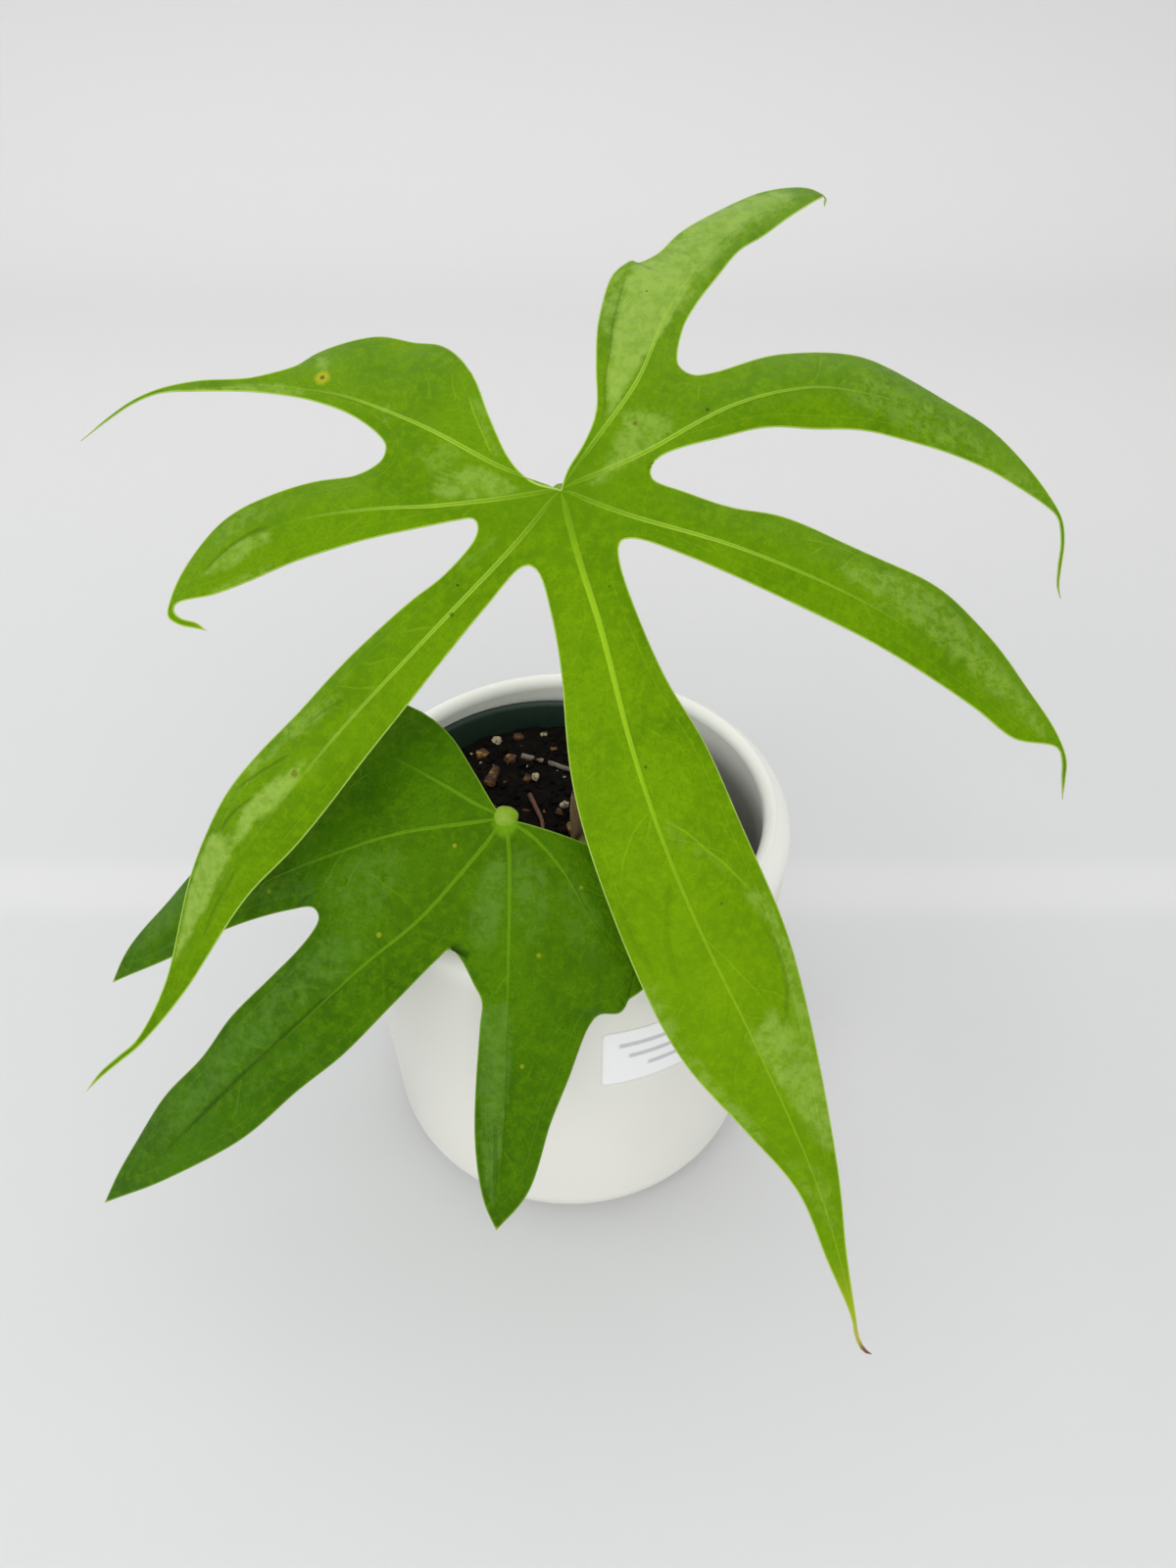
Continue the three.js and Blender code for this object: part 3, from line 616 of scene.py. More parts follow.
for i, ((x, y), size, angle) in enumerate(BARK_CHIPS):
    shape = bmesh.new()
    bmesh.ops.create_cube(shape, size=1)
    bmesh.ops.bevel(shape, geom=shape.edges, offset=CHIP_EDGE, segments=2, profile=0.5, affect="EDGES",
                    material=-1)
    bmesh.ops.subdivide_edges(shape, edges=shape.edges, cuts=2, use_grid_fill=True)
    for vert in shape.verts:
        vert.co *= 1 + CHIP_UNEVEN * noise.noise(vert.co * 1.7 + Vector((i * 4.0, 0, 0)))
        vert.co.x *= 1 - CHIP_TAPER * (vert.co.y + 0.5)
    lie = Matrix.Translation((x, y, SOIL_LEVEL + CLEARANCE + size[2] * 0.4))
    spin = Matrix.Rotation(math.radians(angle), 4, "Z") @ Matrix.Diagonal((*(WORN * length for length in size), 1))
    bmesh.ops.transform(shape, matrix=Matrix.Scale(MM, 4) @ lie @ spin, verts=shape.verts)
    piece(f"chip_{i + 1}", shape, bark, [f"bark_chip_{i + 1}"])
for i, ((x, y), size, angle) in enumerate(GRAINS):
    shape = bmesh.new()
    turn = Matrix.Rotation(math.radians(angle), 3, "Z")
    rise = SOIL_LEVEL + CLEARANCE + size[2] * 0.5
    lump(shape, (x, y, rise), [WORN * length for length in size], turn, 0.35, level=4, seed=i * 2.3)
    piece(f"grain_{i + 1}", shape, perlite, [f"perlite_{i + 1}"])

# %% [markdown]
# ## Stem, sheaths and sticks
# The leaf stalks rise out of a short knobbly stem that is wrapped in dry, papery sheaths. The stem is
# spun, then roughened, and each sheath is a bent grid with a torn upper edge. A twig and a bare root lie
# on the mix: each is a tube whose end cap is extruded and moved along a smooth route.

# %% Stem, sheath and stick finishes
stem_skin, tree, shader = new_finish("stem_skin")
stem_tone = mixed(grain(tree, 160.0, 4.0), (0.10, 0.14, 0.03), (0.26, 0.27, 0.08))
stem_tone = mixed(step(grain(tree, 500.0, 3.0), 0.55, 0.7), stem_tone, (0.16, 0.09, 0.04))
coated(shader, stem_tone, 0.7, grain(tree, 420.0, 4.0), 0.6, 0.0008)

dry_skin, tree, shader = new_finish("dry_sheath")
fibre = grain(tree, (1400, 1400, 110), 4.0, 0.6)
coated(shader, mixed(fibre, (0.20, 0.11, 0.05), (0.52, 0.36, 0.20)), 0.8, fibre, 0.6, 0.0005)

twig_bark, tree, shader = new_finish("twig_bark")
twig_tone = mixed(grain(tree, 420.0, 4.0), (0.09, 0.07, 0.05), (0.30, 0.25, 0.20))
coated(shader, twig_tone, 0.85, grain(tree, 800.0, 3.0), 0.6, 0.0005)

root_skin, tree, shader = new_finish("root_skin")
root_tone = mixed(grain(tree, 380.0, 4.0), (0.06, 0.022, 0.012), (0.20, 0.085, 0.05))
coated(shader, root_tone, 0.8, grain(tree, 700.0, 3.0), 0.5, 0.0005)

# %% Stem
STEM_BASE = 104.7
STEM_RADIUS = 6.2

STEM_KNOBS = [(0, -6.2), (0, -1), (3, 1), (6.5, 1), (8.5, -0.2), (10, -0.4), (11, 0), (13, -0.5), (14.6, -0.2),
              (16.4, -1), (17, -3), (17, -6.2)]
STEM_ROUGHNESS = 0.10

shape = turned([(STEM_RADIUS + swell, STEM_BASE + rise) for rise, swell in STEM_KNOBS], 48)
for vert in shape.verts:
    vert.co.x *= 1 + STEM_ROUGHNESS * noise.noise(vert.co * 260)
    vert.co.y *= 1 + STEM_ROUGHNESS * noise.noise(vert.co * 260 + Vector((5, 5, 5)))
bmesh.ops.translate(shape, vec=(STEM_PLACE[0] * MM, STEM_PLACE[1] * MM, 0), verts=shape.verts)
piece("short_stem", shape, stem_skin, ["stem"])


# %% Sheaths
SHEATH_THICKNESS = 0.35
SHEATH_NARROWING = 0.94
TEAR_DEPTH = 0.10
RIPPLE_DEPTH = 0.35
SHEATH_GAP = CLEARANCE + 0.55


def sheath(name, middle, spread, height, lean, instead_of):
    """A dry sheath that stands round part of the stem, with a torn upper edge."""
    shape = bmesh.new()
    bmesh.ops.create_grid(shape, x_segments=26, y_segments=26, size=1)
    for vert in shape.verts:
        side, rise = vert.co.x, (vert.co.y + 1) / 2
        torn = 1 - TEAR_DEPTH * abs(noise.noise(Vector((side * 7, middle, 0)))) * rise
        half = math.radians(spread) * math.sqrt(max(1 - SHEATH_NARROWING * rise * rise, 0))
        angle = math.radians(middle) + half * side
        ripple = RIPPLE_DEPTH * noise.noise(Vector((side * 5, rise * 3, middle)))
        reach = STEM_RADIUS + SHEATH_GAP + lean * rise * rise + ripple * rise
        vert.co = Vector((STEM_PLACE[0] + reach * math.cos(angle), STEM_PLACE[1] + reach * math.sin(angle),
                          SOIL_LEVEL + CLEARANCE + height * rise * torn)) * MM
    outwards(shape)
    bmesh.ops.solidify(shape, geom=shape.faces, thickness=SHEATH_THICKNESS * MM)
    outwards(shape)
    piece(name, shape, dry_skin, [instead_of])


sheath("front_dry_sheath", 0, 46, 17, 1.2, "sheath_front")
sheath("back_dry_sheath", 125, 50, 23, 1.6, "sheath_back")

# %% Twig and surface root
STICKS = [("fallen_twig", [(-15, 35), (-7, 32), (0, 28.5), (8, 26)], 1.0, twig_bark, "twig", "twig"),
          ("bare_root", [(-12, 17.5), (-10, 12), (-8, 6), (-7.5, 0)], 0.8, root_skin, "root", "surface_root")]
for name, route, radius, finish, slot, node in STICKS:
    shape = bmesh.new()
    lying = [(x, y, SOIL_LEVEL + CLEARANCE + radius) for x, y in route]
    swept(shape, lying, lambda share: radius * (0.95 - 0.35 * share), 24, sides=12)
    for vert in shape.verts:
        vert.co.z += 0.12 * MM * noise.noise(vert.co * 500)
    piece(name, shape, finish, [node])

# %% [markdown]
# ## The surface of a leaf
# Each leaf is laid on one smooth surface: a plane that leans towards the viewer from the joint
# with its stalk, and sags more and more towards the tips. A point of the leaf is given on the flat
# leaf, across and along, in millimetres, and this cell says where it is in space and which way
# the surface faces there.

# %% Leaf surface
def leaf_spot(leaf, across, along, drop=0.0):
    """Place in millimetres of a point of the flat leaf."""
    tilt = math.radians(leaf["tilt"])
    x, y, z = leaf["joint"]
    sag = leaf["sag"] * (across * across + along * along)
    return Vector((x + across, y + along * math.cos(tilt), z + along * math.sin(tilt) - sag - drop))


def leaf_facing(leaf, across, along):
    """The direction that the leaf's upper side faces at a point of the flat leaf."""
    tilt = math.radians(leaf["tilt"])
    sideways = Vector((1, 0, -2 * leaf["sag"] * across))
    lengthways = Vector((0, math.cos(tilt), math.sin(tilt) - 2 * leaf["sag"] * along))
    return sideways.cross(lengthways).normalized()


def under_joint(leaf, distance):
    """Point below the joint, square to the leaf."""
    return leaf_spot(leaf, 0, 0) - leaf_facing(leaf, 0, 0) * distance


# %% [markdown]
# ## The outlines of the two leaves
# The outlines, the ribs and the gaps were measured on the flat leaf, from the joint outwards. Left is the
# anticlockwise side seen from above. A sinus is the rounded bottom of a gap between two lobes. A tail is
# the drawn-out tip, and its third number is how far it hangs below the surface.

# %% Upper leaf outline
UPPER_LEAF = {
    "joint": (-0.7, 0, 223), "tilt": 38, "sag": 0.0017, "rib": 0.55, "arch": 1.9,
    "valley": 0.1, "ridge": 1.0, "dry_tips": 0.1, "shade": 0.2, "dry_from": 0.955,
    "sinuses": [(27.5, 34), (20.9, 6.8), (13.5, -12), (-7, -17.5), (-19.8, -6.3), (-40.5, 13.5)],
    "lobes": [
        {"rib": [(3.2, 5.2), (8, 12.6), (17.5, 28.5), (25.5, 51), (35.5, 71), (49, 91)],
         "left": [(1.4, 4.6), (5.4, 12), (8, 20), (8, 32.5), (8.5, 45.5), (12, 62.5), (15.7, 67.6), (17, 68.6),
                  (17.7, 67.6), (23, 71.5), (29, 80.5), (44, 97.5), (52, 104.5), (61.5, 109)],
         "right": [(28.5, 44.5), (32, 53.5), (37.5, 64), (43.5, 75), (50, 83), (60.5, 97.5)],
         "tail": [(67, 107, 0), (67.6, 106.8, 0.8), (67.5, 106.5, 2.4)], "tail_half": 0.7},
        {"rib": [(18.5, 9.5), (39, 24), (51.5, 30.5), (64, 34.5), (84.5, 34.5), (101, 29), (114, 23.5)],
         "left": [(30.5, 32), (35.5, 33.5), (53.5, 43.5), (71.5, 48), (82, 46.5), (95, 41), (106, 36),
                  (114, 28.5)],
         "right": [(22, 8.4), (25, 10.5), (36, 15.3), (48, 20.5), (61.5, 23.5), (76, 25.5), (100.5, 24),
                   (110.5, 21.5)],
         "tail": [(121, 18, 0), (122, 16.5, 1), (123, 15, 4), (123.5, 13.5, 9), (124, 12, 12.5),
                  (125.5, 11.5, 15)], "tail_half": 0.75},
        {"rib": [(15, -5.5), (42.5, -11.5), (73.5, -20), (89.5, -26.5), (105, -34)],
         "left": [(20.5, 4.9), (20.9, 3.6), (22, 2.8), (28.5, 1.2), (39, -1), (51, -1.5), (75, -7), (90, -11),
                  (99.5, -17.5), (105.5, -23), (112.5, -31)],
         "right": [(16, -11), (28.5, -14), (46, -19.5), (64, -25), (81, -30.5), (96.5, -36.5), (106, -40.5)],
         "tail": [(117.5, -39, 0), (119, -41, 1.5), (119.5, -42.5, 4), (120.5, -44, 8.5)], "tail_half": 0.9},
        {"rib": [(4, -15.5), (9, -31), (16, -55.5), (23, -73.5), (31.5, -90), (44.5, -110.5), (59.5, -135.5)],
         "left": [(13.5, -17), (23.5, -40), (32.5, -53), (39.5, -66.5), (52.5, -91), (59.5, -114), (63.5, -131),
                  (65.5, -144)],
         "right": [(-5, -19), (-2, -28.5), (0, -39), (2.5, -61.5), (7.5, -78), (19.5, -102.5), (28, -114),
                   (41.5, -125), (54, -135), (61, -146.5)],
         "tail": [(67.7, -156, 0), (68.7, -159.5, 0), (70.5, -161.5, 0.3), (72.5, -162, 0.5)],
         "tail_half": 0.55, "rib_half": 0.72, "solid": 1},
        {"rib": [(-11, -13.5), (-31, -33), (-56, -55.5), (-78, -77.5), (-90, -95.5)],
         "left": [(-9, -18), (-16, -25.5), (-38, -49.5), (-59.5, -70.5), (-71.5, -79.5), (-86, -95)],
         "right": [(-18.8, -8), (-19.5, -11), (-26.5, -18.5), (-34, -23.5), (-46.5, -32.5), (-59.5, -43.5),
                   (-68, -50), (-76.5, -58), (-82, -66), (-85, -72.5), (-90.5, -92)],
         "tail": [(-97.5, -102.5, 0), (-102.5, -104.5, 0.5), (-108, -106, 2), (-112.5, -107.5, 4)],
         "tail_half": 0.75},
        {"rib": [(-15.5, -2), (-29, -2.5), (-45, -1.5), (-66, -2), (-80.5, -8)],
         "left": [(-23.5, -6.4), (-29, -7), (-50, -9), (-61.5, -10.5), (-80.5, -14.5)],
         "right": [(-41.5, 10.5), (-47.5, 8.5), (-57, 8.5), (-68, 7), (-76.5, 5), (-81.5, 2), (-88, -6.5)],
         "tail": [(-90.5, -14, 0), (-91, -16, 0.7), (-89, -17.3, 1.8), (-85, -18.7, 2.5), (-82.5, -20, 3)],
         "tail_half": 1.0},
        {"rib": [(-13, 5.5), (-33, 18.5), (-54, 30.5), (-74, 38), (-89, 42.5)],
         "left": [(-42, 16.5), (-48.5, 23), (-59, 29.5), (-71.5, 35), (-88.5, 41)],
         "right": [(-6.5, 2), (-11.5, 7.5), (-16.5, 19), (-21, 31.5), (-28.5, 41), (-36, 43.5), (-45, 46.5),
                   (-59.5, 45), (-64, 41.5), (-74, 40.5), (-89, 44.5)],
         "tail": [(-99, 45.2, 0), (-106, 45.5, 0.5), (-113.5, 46, 2.5), (-122.5, 47.5, 6)], "tail_half": 0.8},
    ],
}

# %% Lower leaf outline
LOWER_LEAF = {
    "joint": (-14.1, -40.8, 159), "tilt": 40, "sag": 0.0035, "rib": 0.48, "arch": 1.6,
    "valley": 0.8, "ridge": 0.6, "dry_tips": 1.0, "shade": 0.0, "dry_from": 0.986,
    "sinuses": [(28.5, -39), (-13, -28.5), (-45, -18), (-52.5, 16)],
    "lobes": [
        {"rib": [(7, -4.5), (14, -12), (21.5, -23)],
         "left": [(4.5, -1), (14, -3.5), (22, -6), (30, -10), (36.5, -16.5), (39, -24)],
         "right": [(29.5, -37.5), (31.5, -36)], "tail": [(34.5, -33.5, 0)], "tail_half": 0.6},
        {"rib": [(1, -8), (1, -25), (0.5, -43), (0, -58), (-1, -70.5)],
         "left": [(27, -40.5), (22.5, -41.5), (20, -44), (15, -54.5), (11, -62.5), (5.5, -75.5)],
         "right": [(-11, -30), (-7.5, -36), (-5.5, -39.5), (-6, -44.5), (-7.5, -66), (-5.5, -77)],
         "tail": [(-2.5, -82.5, 0)], "tail_half": 0.9},
        {"rib": [(-6, -7.5), (-20, -21.5), (-34, -30), (-50, -39.5), (-67, -48), (-82, -55), (-95.5, -60)],
         "left": [(-16, -30.5), (-26.5, -38.5), (-39.5, -47.5), (-51.5, -53), (-66, -59.5), (-88, -62.5)],
         "right": [(-46.5, -20.5), (-58.5, -28.5), (-69, -34.5), (-77, -40.5), (-88.5, -46), (-98, -54)],
         "tail": [(-106, -62, 0)], "tail_half": 0.9},
        {"rib": [(-10.5, -1), (-27, -2), (-44, -4.5), (-59, -6.5), (-75, -10.5), (-89, -13)],
         "left": [(-46.5, -15.5), (-53.5, -14.5), (-69, -14.5), (-85, -16)],
         "right": [(-62, 12.5), (-71.5, 7.5), (-80.5, 3.5), (-88.5, -1.5), (-97.5, -8)],
         "tail": [(-102.5, -15, 0)], "tail_half": 0.9},
        {"rib": [(-6, 3), (-18, 11), (-30, 18.5)],
         "left": [(-51, 18.5)],
         "right": [(-2, 2), (-7.5, 11.5), (-14, 22.5), (-21.5, 30), (-27, 33), (-34.5, 32.5), (-41, 28.5)],
         "tail": [(-47, 22.5, 0)], "tail_half": 0.6},
    ],
}
print("lobes:", len(UPPER_LEAF["lobes"]), "and", len(LOWER_LEAF["lobes"]))

# %% [markdown]
# ## Building a blade
# A lobe is a grid: its rows run out from the joint to the tip, and its columns from the left margin over the
# rib to the right margin. Neighbouring lobes share the seam from the joint to the sinus, and the
# margins of two neighbours are one smooth curve round that sinus, so that the gap ends in a round U.
# The flat grid is then laid on the leaf surface and given its relief: a raised rib, halves that droop
# to the margin, side veins with puffed panels between them, and a wavy edge.

# %% Lobe grids
SEAM_ROWS = 18
SEAM_PACK = 1.35
SEAM_REACH = 0.9
LOBE_ROWS = 110
FREE_SHARE = 0.16
MARGIN_SPANS = 12
TAIL_NARROWING = 0.6
RIB_COLUMNS = (0, 0.4, 0.8, 1.2, 2.0)
PANEL_SHARES = (0.09, 0.2, 0.31, 0.42, 0.53, 0.64, 0.74, 0.83, 0.91, 0.965, 1)


def tail_margin(lobe, side):
    """Margin of a lobe's tail, to one side of its middle, narrowing to its point."""
    tail = lobe["tail"]
    margin = []
    for i, (last, (x, y, drop), ahead) in enumerate(zip([lobe["rib"][-1]] + tail, tail, tail[1:])):
        way = Vector((ahead[0] - last[0], ahead[1] - last[1])).normalized()
        half = side * lobe["tail_half"] * (1 - TAIL_NARROWING * i / len(tail))
        margin.append((x - way.y * half, y + way.x * half, drop))
    return margin + tail[-1:]


def deep(points):
    """Give flat points a third number, 0, where they have none."""
    return [point + (0,) * (3 - len(point)) for point in points]


def margins_of(leaf):
    """A left and a right margin for each lobe, as routes."""
    lobes, sinuses = leaf["lobes"], leaf["sinuses"]
    lefts = [deep(lobe["left"] + tail_margin(lobe, 1)) for lobe in lobes]
    rights = [deep(lobe["right"] + tail_margin(lobe, -1)) for lobe in lobes]
    left_routes = [Route(smooth_line([(0, 0, 0)] + lefts[0]))]
    right_routes = []
    for right, sinus, left in zip(rights, sinuses, lefts[1:]):
        curve = smooth_line(right[::-1] + deep([sinus]) + left, MARGIN_SPANS)
        bottom = len(right) * MARGIN_SPANS
        right_routes.append(Route(curve[bottom::-1]))
        left_routes.append(Route(curve[bottom:]))
    right_routes.append(Route(smooth_line([(0, 0, 0)] + rights[-1])))
    return list(zip(left_routes, right_routes))


def fade(value, low, high):
    """Smooth ramp from 0 at low to 1 at high."""
    part = min(max((value - low) / (high - low), 0), 1)
    return part * part * (3 - 2 * part)


def lobe_rows(leaf, number, margins):
    """Rows of a lobe: the rib's point, direction and length so far, the two side points, how free they are."""
    lobe = leaf["lobes"][number]
    rib = Route(smooth_line(deep([(0, 0)] + lobe["rib"] + lobe["tail"])))
    seams = ([None] + leaf["sinuses"] + [None])[number:number + 2]
    reaches = [math.hypot(*seam) for seam in seams if seam]
    seam_share = SEAM_REACH * sum(reaches) / len(reaches) / rib.length
    rows = []
    for i in range(SEAM_ROWS + LOBE_ROWS + 1):
        past = max(0, i - SEAM_ROWS) / LOBE_ROWS
        seam_part = min(i / SEAM_ROWS, 1) ** SEAM_PACK
        share = seam_share * seam_part + (1 - seam_share) * past
        spot, way = rib.at(share)
        sides = []
        for seam, margin in zip(seams, margins):
            if seam and i < SEAM_ROWS:
                sides.append(Vector((*seam, 0)) * seam_part)
            else:
                sides.append(margin.at(past if seam else share)[0])
        rows.append((spot, way, share * rib.length, share, sides, fade(past, 0, FREE_SHARE)))
    return rows


# %% Relief of a lobe
VEIN_SPACING = 7.5
VEIN_LEAN = 1.05
VEIN_CURVE = 0.012
PUFF = 0.16
KEEL = 1.3
RIB_HEIGHT = 0.55
WAVE = 0.42


def vein_phase(side, across, along):
    """Whole numbers of this are side veins: they leave the rib at an angle and bend towards the tip."""
    lean = VEIN_LEAN * across - VEIN_CURVE * across * across
    return (along - lean) / VEIN_SPACING + 0.5 * side


def hump(across, half):
    """A round hump, 1 in its middle and 0 from half its width."""
    return 0.5 * (1 + math.cos(math.pi * min(across / half, 1)))


def relief(leaf, number, side, wide, across, along, rib_half, free):
    """Height above the surface, and depth of the keel below it, in millimetres."""
    part = across / wide if wide > 0 else 0
    broad = fade(wide, 2.5, 12) * free
    droop = leaf["arch"] * broad * part ** 1.7
    wave = math.sin(along / 9.5 + number * 1.9 + side * 2.4) + 0.6 * math.sin(along / 4.3 + number + side)
    ripple = WAVE * wave * broad * part ** 3
    puffed = abs(math.sin(math.pi * vein_phase(side, across, along))) ** 0.7
    inside = fade(along, 14, 34) * fade(across, 0.5, 3) * (1 - fade(part, 0.75, 0.97)) * broad
    valley = leaf["valley"] * broad * (1 - fade(across, 0.4, 3.6))
    ridge = RIB_HEIGHT * rib_half * hump(across, 1.5 * rib_half) * leaf["ridge"]
    return ridge - valley - droop + ripple + PUFF * puffed * inside, KEEL * rib_half * hump(across, 2.2 * rib_half)


# %% Sheen at a point
def sheen_at(leaf, across, along):
    """How much painted sheen shows at a point of the flat leaf, from the outlines of its sheens."""
    most = 0.0
    for strength, soft, outline in leaf["sheens"]:
        xs, ys = zip(*outline)
        far_x = max(min(xs) - across, across - max(xs))
        if strength <= most or max(far_x, min(ys) - along, along - max(ys)) > soft / 2:
            continue
        nearest = soft
        inside = False
        for (x0, y0), (x1, y1) in zip(outline, outline[1:] + outline[:1]):
            run_x, run_y = x1 - x0, y1 - y0
            part = ((across - x0) * run_x + (along - y0) * run_y) / (run_x * run_x + run_y * run_y)
            part = min(max(part, 0), 1)
            nearest = min(nearest, math.hypot(across - x0 - part * run_x, along - y0 - part * run_y))
            if (y0 > along) != (y1 > along) and across < x0 + (along - y0) * run_x / run_y:
                inside = not inside
        depth = nearest if inside else -nearest
        most = max(most, strength * fade(depth, -soft / 2, soft / 2))
    return most


# %% Blade builder
BLADE_THICKNESS = 0.5
THIN_EDGE = 0.35
RIBS_MAP_SIZE = 100
RIB_TAPER = (0.88, 1.25)
LEAST_RIB = 0.02
BLADE_READINGS = ("margin_gap", "rib_gap", "tip", "sheen", "solid")


def margin_finder(margins):
    """A finder of the nearest point of the margins."""
    edge = []
    for route in (route for pair in margins for route in pair):
        for first, second in zip(route.curve, route.curve[1:]):
            edge += [first.lerp(second, i / 6) for i in range(6)]
    finder = kdtree.KDTree(len(edge))
    for i, point in enumerate(edge):
        finder.insert((point.x, point.y, 0), i)
    finder.balance()
    return finder


def column_part(count, rib_half, wide):
    """Where a column lies between the rib, 0, and the margin, 1. The first columns follow the rib's width."""
    rib_part = rib_half / wide if wide > 0 else 0
    if count < len(RIB_COLUMNS):
        return RIB_COLUMNS[count] * rib_part
    first = RIB_COLUMNS[-1] * rib_part
    return first + (1 - first) * PANEL_SHARES[count - len(RIB_COLUMNS)]


def blade(name, leaf, finish, instead_of):
    """One whole blade, with its margins, veins and thickness."""
    shape = bmesh.new()
    ribs_map = shape.loops.layers.uv.new("ribs")
    layers = {key: shape.verts.layers.float.new(key) for key in BLADE_READINGS}
    order = shape.verts.layers.int.new("order")
    spots = []
    margins = margins_of(leaf)
    finder = margin_finder(margins)
    half_columns = len(RIB_COLUMNS) + len(PANEL_SHARES) - 1
    for number, lobe in enumerate(leaf["lobes"]):
        rows = lobe_rows(leaf, number, margins[number])
        grid = bmesh.ops.create_grid(shape, x_segments=2 * half_columns, y_segments=len(rows) - 1, size=1)["verts"]
        ribs_places = {}
        for vert in grid:
            column = round((vert.co.x + 1) * half_columns) - half_columns
            row = round((vert.co.y + 1) / 2 * (len(rows) - 1))
            spot, way, along, share, sides, free = rows[row]
            side = 0 if column < 0 else 1
            reach = sides[side] - spot
            wide = reach.to_2d().length
            rib_half = lobe.get("rib_half", leaf["rib"]) * (1 - RIB_TAPER[0] * share) ** RIB_TAPER[1]
            rib_half = min(rib_half, 0.2 * wide + LEAST_RIB)
            flat = spot + reach * column_part(abs(column), rib_half, wide)
            away = flat.to_2d() - spot.to_2d()
            forward = way.to_2d()
            forward = forward.normalized() if forward.length > 0 else Vector((0, 1))
            across = abs(away.x * forward.y - away.y * forward.x)
            length = along + away.dot(forward)
            square = abs(reach.x * forward.y - reach.y * forward.x)
            height, keel = relief(leaf, number, side, max(square, across), across, length, rib_half, free)
            at_margin = abs(column) == half_columns and row >= SEAM_ROWS
            gap = 0.0 if at_margin else finder.find((flat.x, flat.y, 0))[2]
            facing = leaf_facing(leaf, flat.x, flat.y)
            middle = leaf_spot(leaf, flat.x, flat.y, flat.z)
            thick = BLADE_THICKNESS * (THIN_EDGE + (1 - THIN_EDGE) * fade(gap, 0, 1.5))
            # the sheen reading says how much painted reflection the finish puts on this point
            sheen = sheen_at(leaf, flat.x, flat.y)
            readings = (gap, across / max(rib_half, LEAST_RIB), share, sheen, lobe.get("solid", 0))
            for key, value in zip(BLADE_READINGS, readings):
                vert[layers[key]] = value
            vert[order] = len(spots)
            spots.append((middle + facing * height, middle + facing * (height - thick - keel)))
            ribs_places[vert] = (0.5 + (across if side else -across) / RIBS_MAP_SIZE, length / RIBS_MAP_SIZE)
            vert.co = spots[-1][1] * MM
        for face in {face for vert in grid for face in vert.link_faces}:
            for loop in face.loops:
                loop[ribs_map].uv = ribs_places[loop.vert]
    bmesh.ops.remove_doubles(shape, verts=shape.verts, dist=1e-6)
    for vert in corners_of(bmesh.ops.extrude_face_region(shape, geom=list(shape.faces))["geom"]):
        vert.co = spots[vert[order]][0] * MM
    outwards(shape)
    loose = sum(1 for line in shape.edges if len(line.link_faces) != 2)
    made = piece(name, shape, finish, [instead_of])
    print(name, "has", loose, "edges shared by more or less than two faces, in", len(made.data.polygons), "faces")
